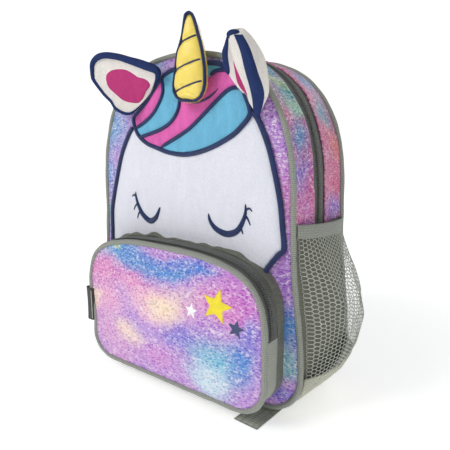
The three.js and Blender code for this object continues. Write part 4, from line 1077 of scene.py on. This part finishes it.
def sweepPlace(points, upAt, half, tall, closed=False, power=1.0, endTaper=0):
    points = np.array(points, float)
    way = np.roll(points, -1, axis=0) - np.roll(points, 1, axis=0) if closed else np.gradient(points, axis=0)
    way /= np.linalg.norm(way, axis=1)[:, None]
    count = len(points) if closed else len(points) - 1
    length = np.linalg.norm(np.diff(points, axis=0), axis=1).sum()

    def place(u, w):
        s = u * count
        i = min(int(s), len(points) - 1) if not closed else int(s) % len(points)
        j = (i + 1) % len(points) if closed else min(i + 1, len(points) - 1)
        f = s - int(s)
        p = points[i] * (1 - f) + points[j] * f
        t = Vector(way[i] * (1 - f) + way[j] * f)
        up = Vector(upAt(u, p)).normalized()
        side = t.cross(up).normalized()
        up = side.cross(t).normalized()
        turn = w * 2 * math.pi
        c, s2 = math.cos(turn), math.sin(turn)
        c, s2 = math.copysign(abs(c) ** power, c), math.copysign(abs(s2) ** power, s2)
        shrink = min(1, endTaper * u, endTaper * (1 - u)) if endTaper else 1
        spot = Vector(p) + side * (c * half(u) * shrink) + up * (s2 * tall(u) * shrink)
        return tuple(spot)
    return place, count, length


def sweptPiece(name, points, upAt, half, tall, sides=12, closed=False, endTaper=0):
    halfAt = half if callable(half) else (lambda u: half)
    tallAt = tall if callable(tall) else (lambda u: tall)
    place, count, length = sweepPlace(points, upAt, halfAt, tallAt, closed, 1.0, endTaper)
    return shapedGrid(name, count, sides, place, (length, 2 * math.pi * halfAt(0.5)))


def hornEdgeForward(x):  # the left edge's stitches lie further forward
    return 4.2 if x < 19 else 1.5 if x > 24 else 4.2 - 0.54 * (x - 19)


hornEdgePath = [(x, hornSize["centre"] - hornEdgeForward(x), z) for x, z in hornPath]
hornEdge = sweptPiece("horn_edge_stitch", hornEdgePath, lambda u, p: (0, -1, 0), 1.3, 1.7, 10, closed=True)
dress(hornEdge, navyThread, "navy_thread")
hornParts = []
for level, slope in hornLines:
    xs = np.linspace(hornSize["aside"] - 19, hornSize["aside"] + 19, 60)
    path = [(x, level + slope * (x - hornSize["aside"])) for x in xs]
    shares = [(z - hornSize["low"]) / hornSize["length"] for x, z in path]
    path = [p for p, w in zip(path, shares) if hornSide(-1, w)[0] + 0.6 < p[0] < hornSide(1, w)[0] - 0.6]
    points = [(x, hornFront(x, z) - 0.15, z) for x, z in path]
    hornParts.append(sweptPiece("horn_line", points, lambda u, p: (0, -1, 0), 0.85, 0.6, 8, endTaper=30))
dress(joined("horn_lines", hornParts), navyThread, "navy_thread")
dress(hornBody, yellowSatin, "yellow_satin", "horn")
random.seed(7)
fringe, fringeCount, fringeTop = [], 260, 345
for k in range(fringeCount):  # loose yellow threads along the horn's edge
    x, z = hornPath[int(k / fringeCount * (len(hornPath) - 1))]
    if z > fringeTop:
        continue
    out = Vector((x - 20, 0, (z - 315) * 0.12 if 286 < z < 350 else (z - 315) * 0.9)).normalized()
    centre = Vector((x, hornSize["centre"] + random.uniform(-0.6, 0.6), z)) + out * 1.7
    stray = Vector((0, random.uniform(-0.4, 0.4), random.uniform(-0.9, 0.9)))
    fringe.append(alignedTo(centre, out + stray, (0, -1, 0), (0.75, 0.2, 0.2)))
dress(placedCopies("horn_fringe", bead, fringe), yellowThread, "yellow_satin")

print("ears")
earShape = {"length": 76, "width": 61, "cup": 9, "thick": 5}
earSeat = {"aside": -38, "level": 290, "root": (0.71, 0, 0.71), "along": (-0.94, -0.13, 0.31),
           "facing": (0.1, -1, 0)}
leafRows = [  # across, along, half the rim's width in tenths of a metre
    (-0.9, 0.04, 0.014), (-0.4, 0.01, 0.003), (0.3, 0.01, 0.003), (0.85, 0.02, 0.034), (0.91, 0.24, 0.040),
    (0.90, 0.47, 0.034), (0.88, 0.67, 0.031), (0.77, 0.89, 0.031), (0.57, 1.02, 0.030), (0.27, 1.06, 0.029),
    (-0.13, 0.97, 0.025), (-0.31, 0.88, 0.021), (-0.6, 0.62, 0.016), (-0.75, 0.43, 0.015),
    (-0.93, 0.25, 0.015)]
centreRows = [(0.02, 0.75), (0.27, 0.73), (0.45, 0.61), (0.52, 0.48), (0.47, 0.36), (0.42, 0.28),
              (0.44, 0.16), (0.30, 0.06), (0, 0.05), (-0.37, 0.05), (-0.48, 0.09), (-0.55, 0.25),
              (-0.44, 0.46), (-0.30, 0.63)]


def earAt(ear):
    root, along, facing = (Vector(ear[k]).normalized() for k in ("root", "along", "facing"))
    half = root * (earShape["width"] / 2)
    front = min(frontAt(ear["aside"] + a * half.x, ear["level"] + a * half.z) for a in (-1, 0, 1))
    seat = Vector((ear["aside"], front - 2.2, ear["level"]))

    def at(a, b, lift):
        return seat + half * a + along * (b * earShape["length"]) + facing * (earShape["cup"] * a * a + lift)
    return at, facing


def onRing(ring, u):
    i = u * len(ring)
    return ring[int(i) % len(ring)] * (1 - i % 1) + ring[(int(i) + 1) % len(ring)] * (i % 1)


leafRing = smoothPath(leafRows, 160, True)
leafLoop, leafHub = leafRing[:, :2], np.array((0, 0.45))
at, facing = earAt(earSeat)


def rootFold(a, b):  # soft gathers towards the ear's root
    return 1.5 * math.sin(a * 8 + 1.2) * math.exp(-max(b, 0) / 0.32)


def leafPlace(u, w):  # the back swells out, the front is dished with soft folds towards the root
    top = w < 0.5
    share = 2 * w if top else 2 - 2 * w
    a, b = leafHub + (onRing(leafLoop, u) - leafHub) * share
    full = (1 - share ** 4) ** 0.5
    middle = earShape["thick"] / 2
    lift = middle + (full * 1.9 + rootFold(a, b) * (1 - share ** 4)) if top else middle - full * 4.2
    spot = at(a, b, lift)
    soft = ripple(spot.x, spot.y, spot.z, 13, 0.9, 4.1) * (1 - share ** 6)
    return tuple(spot + facing * soft)


leftBody = shapedGrid("ear_left_plush", 120, 44, leafPlace, (100, 100))
dress(leftBody, creamPlush, "cream_plush", "ear_left")
rimPath = [tuple(at(a, b, earShape["thick"] / 2 + 0.6)) for a, b in leafLoop]
rimHalf = lambda u: 100 * onRing(leafRing, u)[2]
leftRim = sweptPiece("ear_left_rim", rimPath, lambda u, p: facing, rimHalf, lambda u: min(3.3, rimHalf(u)),
                     14, closed=True)
dress(leftRim, navyPile, "navy_thread")
patchRing = smoothPath(centreRows, 120, True)
patchHub = np.array((0, 0.35))


def patchPlace(u, w):
    a, b = patchHub + (onRing(patchRing, u) - patchHub) * w
    spot = at(a, b, earShape["thick"] / 2 + 2.0 + rootFold(a, b) + 1.0 * (1 - w ** 6))
    return tuple(spot + facing * ripple(spot.x, spot.y, spot.z, 13, 0.9, 4.1))


leftPatch = shapedGrid("ear_left_centre_plush", 100, 16, patchPlace, (100, 100), 1.2, facing)
dress(leftPatch, earPink, "pink_centre", "ear_left_centre")

# The right ear is cupped and seen almost edge on. Five sections from its root to its tip, each of ten places
# in mm: near rim outside and inside, crest, valley, far slope, far rim inside and outside, back far to near
earSections = np.array([
    [(86, -53, 268), (82, -55, 273), (78, -56, 279), (74, -53, 283), (66, -55, 291), (57, -56, 302),
     (50, -54, 311), (56, -50, 312), (72, -49, 298), (86, -49, 280)],
    [(97, -64, 284), (86, -64, 284.5), (81, -65, 288), (74, -56, 292), (68, -58, 297), (61, -60, 305),
     (54, -58, 313), (62, -52, 316), (78, -50, 305), (97, -56, 289)],
    [(99, -77, 299.5), (91, -81, 303), (82, -80, 304.5), (77, -68, 308), (73, -70, 311), (69, -73, 314),
     (64, -72, 318), (72, -62, 323), (85, -58, 318), (98.5, -64, 310)],
    [(97.5, -84, 315), (91, -87, 315.5), (82.5, -86, 315), (80, -80, 317), (78, -80, 319), (75.5, -81, 321),
     (73, -80, 323), (79, -72, 328), (86, -69, 329), (94, -74, 324)],
    [(91, -85, 326), (86, -88, 326), (82, -88, 326), (80, -86, 326), (79, -85, 327), (78, -84, 328),
     (78, -82, 330), (81, -79, 332), (86, -78, 332), (90, -80, 331)],
], float)


def rightEarAt(s, v, lift=0.0):
    def spot(s, v):
        rows = []
        for level in range(5):
            i, f = int(math.floor(s)), s - math.floor(s)
            rows.append(spline(*(earSections[level][(i + k) % 10] for k in (-1, 0, 1, 2)), f))
        i = min(int(v), 3)
        around = [rows[min(max(i + k, 0), 4)] for k in (-1, 0, 1, 2)]
        return Vector(spline(*around, v - i))
    v = min(max(v, 0.0), 4.0)
    here = spot(s, v)
    if lift:
        around = spot(s + 0.05, v) - spot(s - 0.05, v)
        along = spot(s, min(v + 0.05, 4)) - spot(s, max(v - 0.05, 0))
        way = around.cross(along)
        here = here + way.normalized() * lift
    return here


def unevenBy(here):
    return Vector((0.5, -0.6, 0.4)) * ripple(here.x, here.y, here.z, 12, 1.0, 6.6)


def rightBodyPlace(u, w):
    v = (w - 0.05) / 0.88
    level = min(max(v, 0.0), 1.0)
    here = rightEarAt(10 * u, 4 * level)
    soft = unevenBy(here)
    if v < 0 or v > 1:
        middle = Vector(earSections[0 if v < 0 else 4].mean(axis=0))
        share = max(0.0, 1 - (-v * 17.6 if v < 0 else (v - 1) / 0.0795))
        here = middle + (here - middle) * share ** 0.6
        here += Vector((0, 0, 2.2)) * (1 - share ** 2) if v > 1 else Vector()
    return tuple(here + soft * min(1, 4 * level))


rightBody = shapedGrid("ear_right_plush", 110, 60, rightBodyPlace, (150, 100), 0,
                       lambda p: p - Vector((80, -68, 304)))
dress(rightBody, creamPlush, "cream_plush", "ear_right")

# The way the lines are wound decides which sign lifts outwards
lifted = rightEarAt(8.0, 1.5, 1.0) - rightEarAt(8.0, 1.5)
liftSign = 1.0 if lifted.dot(Vector((0.5, 0.6, 0.6))) > 0 else -1.0


def rimBand(name, first, last, tall):
    def place(u, w):
        turn = u * 2 * math.pi
        middle, half = (first + last) / 2, (last - first) / 2
        s = middle + half * math.cos(turn)
        here = rightEarAt(s, 4 * w, 0.01)
        out = rightEarAt(s, 4 * w, liftSign) - rightEarAt(s, 4 * w)
        return tuple(here + out * (0.2 + tall * math.sin(turn)) + unevenBy(here) * min(1, 4 * w))
    return shapedGrid(name, 20, 70, place, (30, 90))


rims = [rimBand("near", -0.12, 1.02, 1.1), rimBand("far", 4.98, 6.1, 1.1)]
tipRing = bmesh.new()
bmesh.ops.create_uvsphere(tipRing, u_segments=24, v_segments=14, radius=1.0)
for vert in tipRing.verts:
    vert.co = (Vector((83, -84.6, 327.6)) + vert.co * Vector((5.8, 4.4, 3.6))) * mm
rims.append(addPiece("tip", tipRing))
dress(joined("ear_right_rim", rims), navyPile, "navy_thread")


def rightPatchPlace(u, w):
    narrow = math.sqrt(max(0.0, 1 - abs(2 * w - 1) ** 2.4))
    s = 3.2 + 0.95 * (2 * u - 1) * narrow
    here = rightEarAt(s, 0.36 + 2.2 * w)
    out = rightEarAt(s, 0.36 + 2.2 * w, liftSign) - here
    return tuple(here + out * (0.7 + 0.6 * narrow * math.sin(math.pi * u)) + unevenBy(here))


rightPatch = shapedGrid("ear_right_centre_plush", 24, 40, rightPatchPlace, (40, 60), 1.0, (-0.5, -0.8, -0.2))
dress(rightPatch, earPink, "pink_centre", "ear_right_centre")

print("side pockets")
netPocket = {"bandWidth": 12, "bandTilt": 6, "belly": 30, "boxiness": 3, "footTop": 42, "footRise": 12,
             "footLow": 12, "cell": 2.15, "strand": 0.46, "span": 88.4, "flatLow": 38}
bellyRows = np.array([(0, 0.06), (0.08, 0.14), (0.19, 0.42), (0.32, 0.72), (0.5, 0.97), (0.61, 1),
                      (0.75, 0.76), (0.93, 0.28), (1.05, 0.16)])
sideHalf = [p for p in bagLoop["points"][: len(bagLoop["points"]) // 2] if p[0] > 74]
sideLevels = np.array([p[1] for p in sideHalf])
sideReach = np.array([p[0] for p in sideHalf])


def bellied(side, a, z, lift):
    y = frontPlane + seam + (backPlane - frontPlane - 2 * seam) * a
    full = 1 - 0.98 * abs(2 * a - 1) ** netPocket["boxiness"]
    up = (z - netPocket["footLow"]) / (bag["band"] - netPocket["footLow"])
    swell = bag["crown"] * (1 - (y / backPlane) ** 2) * min(1, z / (bag["lift"] + bag["corner"]))
    curl = 0.5 * max(0, 2.5 - (z - netPocket["footLow"]) / bag["corner"] * 3)
    reach = np.interp(z, sideLevels, sideReach) + swell + curl + lift
    reach += netPocket["belly"] * full * np.interp(up, bellyRows[:, 0], bellyRows[:, 1])
    reach += ripple(side * 9, y, z, 26, 1.6, 5.2) * full
    return side * reach, y, z


def bandTop(a):
    return bag["band"] + netPocket["bandTilt"] * (1 - a)


def footTop(a):
    return netPocket["footTop"] + netPocket["footRise"] * a


def onNet(spot):  # between the foot and the band, on the flat net
    a, z = spot.x / netPocket["span"], spot.y + netPocket["flatLow"]
    return 0 < a < 1 and footTop(a) - 1 < z < bandTop(a) - netPocket["bandWidth"] + 2


for word, side in (("left", -1), ("right", 1)):
    def bandPlace(u, w):
        turn = w * 2 * math.pi
        a = u * 1.02 - 0.01
        z = bandTop(a) - netPocket["bandWidth"] / 2 - math.cos(turn) * netPocket["bandWidth"] / 2
        thick = 1.2 * math.copysign(abs(math.sin(turn)) ** 0.5, math.sin(turn))
        x, y, z = bellied(side, min(max(a, 0.0), 1.0), z, 1.4 + thick)
        return x, y + (a - min(max(a, 0.0), 1.0)) * 90, z
    band = shapedGrid("band_cloth_" + word, 60, 20, bandPlace, (96, 28))
    dress(band, bindingCloth, "piping", "band_" + word)

    def footPlace(u, w):
        z = netPocket["footLow"] - 6 + (footTop(u) - netPocket["footLow"] + 6) * w
        x, y, z = bellied(side, u, z, 1.6)
        return x + side * ripple(x, y, z, 9, 0.7, 3.8), y, z
    foot = shapedGrid("foot_cloth_" + word, 56, 30, footPlace, (96, 50), 1.3, (side, 0, 0))
    dress(foot, liningCloth, "lining", "foot_" + word)

    bm = bmesh.new()
    cell = netPocket["cell"]
    stepY, stepZ = 1.5 * cell, math.sqrt(3) * cell
    for column in range(int(92 / stepY) + 2):
        for row in range(int(130 / stepZ) + 2):
            centre = Vector((column * stepY, (row + 0.5 * (column % 2)) * stepZ, 0))
            placed = Matrix.Translation(centre) @ Matrix.Rotation(math.pi / 3, 4, "Z")
            bmesh.ops.create_circle(bm, cap_ends=True, radius=cell, segments=6, matrix=placed)
    bmesh.ops.remove_doubles(bm, verts=bm.verts, dist=0.05)
    bmesh.ops.delete(bm, geom=[f for f in bm.faces if not onNet(f.calc_center_median())], context="FACES")
    for vert in bm.verts:
        a = vert.co.x / netPocket["span"]
        x, y, z = bellied(side, min(max(a, 0.0), 1.0), vert.co.y + netPocket["flatLow"], 1.2)
        slack = min(1, 8 * a, 8 * (1 - a))
        swing = (1.3 * math.sin((y + 6 * math.sin(z / 17)) / 4.2) * slack
                 * max(0, math.sin((z - 40) / 125 * math.pi)))
        vert.co = Vector((x + side * swing, y + 0.5 * math.sin(z / 6), z)) * mm
    net = addPiece("net_mesh_" + word, bm)
    wires = net.modifiers.new("strands", "WIREFRAME")
    wires.thickness, wires.use_even_offset, wires.use_boundary = netPocket["strand"] * mm, False, True
    dress(settle(net), netThread, "net", "net_" + word)

print("label tab")
tabSize = {"aside": -113.2, "halfWidth": 6.1, "halfDepth": 5.6, "behind": 1.6, "low": 50.2, "height": 36.6}


def tabPlace(u, w):
    turn = u * 2 * math.pi
    c, s = math.cos(turn), math.sin(turn)
    pinch = 1 - 0.12 * math.sin(math.pi * w)
    x = tabSize["aside"] + tabSize["halfWidth"] * math.copysign(abs(c) ** 0.6, c)
    y = (pouchPlane + tabSize["behind"]
         + tabSize["halfDepth"] * math.copysign(abs(s) ** 0.6, s) * (pinch if c < 0.2 else 1))
    return x, y, tabSize["low"] + tabSize["height"] * w + 0.6 * math.sin(turn * 2) * w


tab = shapedGrid("label_tab_cloth", 40, 24, tabPlace, (27, 37), 1.1,
                 lambda p: (p.x - tabSize["aside"], p.y - pouchPlane - tabSize["behind"], 0))
dress(tab, labelCloth, "dark_cloth", "label_tab")
tabStitch = [(-108.8, pouchPlane - 4.3, 52 + 1.1 * k) for k in range(31)]
dress(sweptPiece("label_tab_stitch", tabStitch, lambda u, p: (0, -1, 0), 0.45, 0.3, 8, endTaper=30),
      whiteThread, "dark_cloth")

print("straps and back")
strap = {"padWidth": 44, "padThick": 8, "web": 26, "webThick": 1.4, "bow": 30, "padTop": 279, "padLow": 128,
         "apart": 60, "spread": 150, "anchorLevel": 30, "anchorApart": 196, "tailLeft": 70, "tailReach": 30}
lock = {"height": 29, "thick": 3, "bar": 4, "gap": 0.9}
padRows = [(1, 0, 0), (0.8, 0.62, 0.12), (0.55, 1, 0.4), (0.28, 0.95, 0.72), (0, 0.6, 1)]  # up, out, apart


def centripetal(rows, perSpan):  # the same curve as the solids' ribbons
    rows = [Vector(r) for r in rows]
    rows = [rows[0] * 2 - rows[1]] + rows + [rows[-1] * 2 - rows[-2]]
    found = []
    for i in range(1, len(rows) - 2):
        p0, p1, p2, p3 = rows[i - 1: i + 3]
        d1, d2, d3 = (max((b - a).length, 1e-4) ** 0.5 for a, b in ((p0, p1), (p1, p2), (p2, p3)))
        m1 = ((p1 - p0) / d1 - (p2 - p0) / (d1 + d2) + (p2 - p1) / d2) * d2
        m2 = ((p2 - p1) / d2 - (p3 - p1) / (d2 + d3) + (p3 - p2) / d3) * d2
        for k in range(perSpan):
            t = k / perSpan
            found.append(p1 * (2 * t ** 3 - 3 * t * t + 1) + m1 * (t ** 3 - 2 * t * t + t)
                         + p2 * (-2 * t ** 3 + 3 * t * t) + m2 * (t ** 3 - t * t))
    return [tuple(p) for p in found + [rows[-2]]]


def ribbonPiece(name, rows, perSpan, half, tall, across=(1, 0, 0), power=0.35, sides=16):
    points = centripetal(rows, perSpan)

    def upAt(u, p):
        i = min(int(u * (len(points) - 1)), len(points) - 2)
        t = (Vector(points[i + 1]) - Vector(points[i])).normalized()
        flat = Vector(across) - t * Vector(across).dot(t)
        return flat.normalized().cross(t)
    halfAt = half if callable(half) else (lambda u: half)
    place, count, length = sweepPlace(points, upAt, halfAt, lambda u: tall, False, power)

    def capped(u, w):  # the two end rows close the ribbon
        if min(u, 1 - u) <= 0.5 / (count + 2):
            return tuple(points[0] if u < 0.5 else points[-1])
        return place(min(max((u * (count + 2) - 1) / count, 0.0), 1.0), w)
    return shapedGrid(name, count + 2, sides, capped, (length, 2 * math.pi * 6))


swelling = {"voxel": 4.5, "pressure": 4.0, "steps": 20, "cap": 1.6}


def swollen(piece):  # padding pushes the cloth out
    remesh = piece.modifiers.new("remesh", "REMESH")
    remesh.mode, remesh.voxel_size = "VOXEL", swelling["voxel"] * mm
    settle(piece)
    rested = [v.co.copy() for v in piece.data.vertices]
    cloth = piece.modifiers.new("cloth", "CLOTH")
    cloth.settings.use_pressure = True
    cloth.settings.uniform_pressure_force = swelling["pressure"]
    cloth.settings.effector_weights.gravity = 0
    cloth.point_cache.frame_start, cloth.point_cache.frame_end = 1, swelling["steps"]
    for step in range(1, swelling["steps"] + 1):
        bpy.context.scene.frame_set(step)
    settle(piece)
    bpy.context.scene.frame_set(1)
    for vert, old in zip(piece.data.vertices, rested):
        moved = vert.co - old
        if moved.length > swelling["cap"] * mm:
            vert.co = old + moved.normalized() * swelling["cap"] * mm
    finer = piece.modifiers.new("finer", "SUBSURF")
    finer.levels = finer.render_levels = 1
    settle(piece)
    piece.data.shade_smooth()


for word, side in (("left", -1), ("right", 1)):
    padPath = []
    for up, out, apart in padRows:
        x = side * (strap["apart"] + (strap["spread"] - strap["apart"]) * apart) / 2
        z = strap["padLow"] + (strap["padTop"] - strap["padLow"]) * up
        padPath.append((x, backAt(x, z) + 0.35 + strap["padThick"] / 2 + strap["bow"] * out, z))
    narrow = lambda u: strap["padWidth"] / 2 * (1 - 0.42 * max(0, (u - 0.8) / 0.2) ** 2) - 0.6
    pad = ribbonPiece("shoulder_pad_cloth_" + word, padPath, 14, narrow, strap["padThick"] / 2 - 0.9,
                      (1, 0, 0.15 * side), 0.55, 24)
    padEdges = []
    for edgeSide in (-1, 1):  # binding sewn along both edges of the pad
        edge = [tuple(Vector(p)
                      + Vector((1, 0, 0.15 * side)).normalized() * edgeSide * (narrow(k / 56) + 0.4))
                for k, p in enumerate(centripetal(padPath, 14))]
        padEdges.append(sweptPiece("pad_edge", edge, lambda u, p: (0, 1, 0), 1.5, 1.5, 10, endTaper=40))
    dress(joined("shoulder_pad_binding_" + word, padEdges), bindingCloth, "strap_cloth")
    swollen(pad)
    dress(pad, strapCloth, "strap_cloth", "shoulder_pad_" + word)
    end = Vector(padPath[-1])
    anchorX = side * strap["anchorApart"] / 2
    anchor = Vector((anchorX, backAt(anchorX, strap["anchorLevel"]) + 0.35 + strap["webThick"],
                     strap["anchorLevel"]))
    down = (anchor - end).normalized()
    across = (Vector((1, 0, 0)) - down * down.x).normalized()
    away = across.cross(down)
    away = away if away.y > 0 else -away
    off = lock["thick"] / 2 + 0.35 + strap["webThick"] / 2
    slot = (lock["height"] - 3 * lock["bar"]) / 2
    middle = lock["bar"] + slot
    rows = [(lock["height"] * 1.4, -off), (lock["height"], -off), (middle + lock["bar"] / 2, -off),
            (middle - off * 0.8, -off * 0.8), (middle - off * 1.15, 0), (middle - off * 0.8, off * 0.8),
            (middle + lock["bar"] / 2, off), (lock["height"], off), (lock["height"] * 1.5, off * 2)]
    threaded = [tuple(end + down * (b + lock["gap"]) + away * c) for b, c in rows]
    hanging = threaded[-1]
    if side > 0:
        ground, x, behind = strap["webThick"] / 2 + 0.1, 74 + 6 + strap["web"] / 2, backPlane + seam
        tail = [(hanging[0] + (x - hanging[0]) * 0.5, hanging[1] + 4, hanging[2] * 0.5), (x, behind + 24, 10),
                (x, behind + 15, ground + 2.4), (x, behind + 4, ground + 0.2), (x, behind - 12, ground),
                (x, 0, ground), (x, frontPlane, ground), (x - 1, frontPlane - strap["tailReach"], ground)]
    else:
        tail = [(hanging[0], hanging[1] + 2, hanging[2] - strap["tailLeft"])]
    web = ribbonPiece("strap_webbing_cloth_" + word, [tuple(anchor)] + threaded + tail, 6, strap["web"] / 2,
                      strap["webThick"] / 2)
    dress(web, webbingCloth, "webbing", "strap_webbing_" + word)


def refined(name, source, bevel=0.0):  # a merged copy of a plain solid with softened edges
    bm = bmesh.new()
    bm.from_mesh(cadNodes[source].data)
    bmesh.ops.remove_doubles(bm, verts=bm.verts, dist=1e-5)
    bmesh.ops.dissolve_limit(bm, angle_limit=0.02, verts=bm.verts, edges=bm.edges)
    if bevel:
        sharp = [e for e in bm.edges if len(e.link_faces) == 2 and e.calc_face_angle(0) > 0.6]
        bmesh.ops.bevel(bm, geom=sharp, offset=bevel * mm, offset_type="OFFSET", segments=3, profile=0.5,
                        affect="EDGES", material=-1)
    return addPiece(name, bm)


for word in ("left", "right"):
    dress(refined("ladder_lock_shell_" + word, "ladder_lock_" + word, 0.7), lockPlastic, "plastic",
          "ladder_lock_" + word)
dress(refined("main_slider_shell", "main_slider", 0.5), castZinc, "zinc", "main_slider")
dress(refined("pocket_slider_shell", "pocket_slider", 0.5), castZinc, "zinc", "pocket_slider")
dress(refined("strap_yoke_cloth", "strap_yoke", 0.5), oliveCloth, "lining", "strap_yoke")
haul = {"apart": 50, "reach": 26, "width": 18, "thick": 2.4, "sew": 12}
haulRows = [(-1, 1, 0), (-1, 0.4, 0.01), (-0.98, 0, 0.12), (-0.8, 0, 0.62), (-0.42, 0, 0.94), (0, 0, 1),
            (0.42, 0, 0.94), (0.8, 0, 0.62), (0.98, 0, 0.12), (1, 0.4, 0.01), (1, 1, 0)]
haulLevel = strap["padTop"] + strap["padThick"] / 2 + 13 + 0.35 + haul["width"] / 2
haulPath = []
for aside, sewn, out in haulRows:
    x = aside * haul["apart"] / 2 + (math.copysign(sewn * haul["sew"], aside) if aside else 0)
    haulPath.append((x, backAt(x, haulLevel) + 0.7 + haul["thick"] / 2 + haul["reach"] * out, haulLevel))
haulLoop = ribbonPiece("haul_loop_webbing", haulPath, 8, haul["width"] / 2, haul["thick"] / 2, (0, -0.1, 1))
dress(haulLoop, webbingCloth, "webbing", "haul_loop")

print("floor")
paper, tree, shader = material("floor_paper", 0.9)
away = vectorCalc(tree, "LENGTH", node(tree, "TexCoord").outputs["Object"])
grain = node(tree, "TexNoise",
             {"Vector": node(tree, "TexCoord").outputs["Object"], "Scale": 40.0,
              "Detail": 2.0}).outputs["Fac"]
shaded(tree, shader, (0.93, 0.93, 0.93, 1), spread(tree, grain, 0.3, 0.7, 0.99, 1.0))
shader.inputs["Emission Color"].default_value = (1, 1, 1, 1)
tree.links.new(spread(tree, away, 0.2, 0.8, 0.45, 0.7), shader.inputs["Emission Strength"])
floorPad = bmesh.new()
bmesh.ops.create_circle(floorPad, cap_ends=True, radius=1.0, segments=96)
floorPiece = addPiece("studio_floor", floorPad)
sweepPad = bmesh.new()
bmesh.ops.create_circle(sweepPad, cap_ends=False, radius=1.0, segments=96)
edge = list(sweepPad.edges)
sweepRows = [  # radius and level, m
    (2.5, 0.0), (3.1, 0.12), (3.6, 0.45), (3.95, 0.95), (4.1, 1.6), (4.15, 4.5)]
for radius, level in sweepRows:  # the paper sweeps up all round
    grown = bmesh.ops.extrude_edge_only(sweepPad, edges=edge)["geom"]
    edge = [g for g in grown if isinstance(g, bmesh.types.BMEdge)]
    for vert in [g for g in grown if isinstance(g, bmesh.types.BMVert)]:
        flat = Vector((vert.co.x, vert.co.y, 0)).normalized() * radius
        vert.co = Vector((flat.x, flat.y, level))
bmesh.ops.recalc_face_normals(sweepPad, faces=sweepPad.faces)
sweepPiece = addPiece("studio_sweep", sweepPad)
sweepPiece.visible_diffuse = sweepPiece.visible_glossy = sweepPiece.visible_shadow = False
for piece in (floorPiece, sweepPiece):
    piece.data.materials.append(paper)
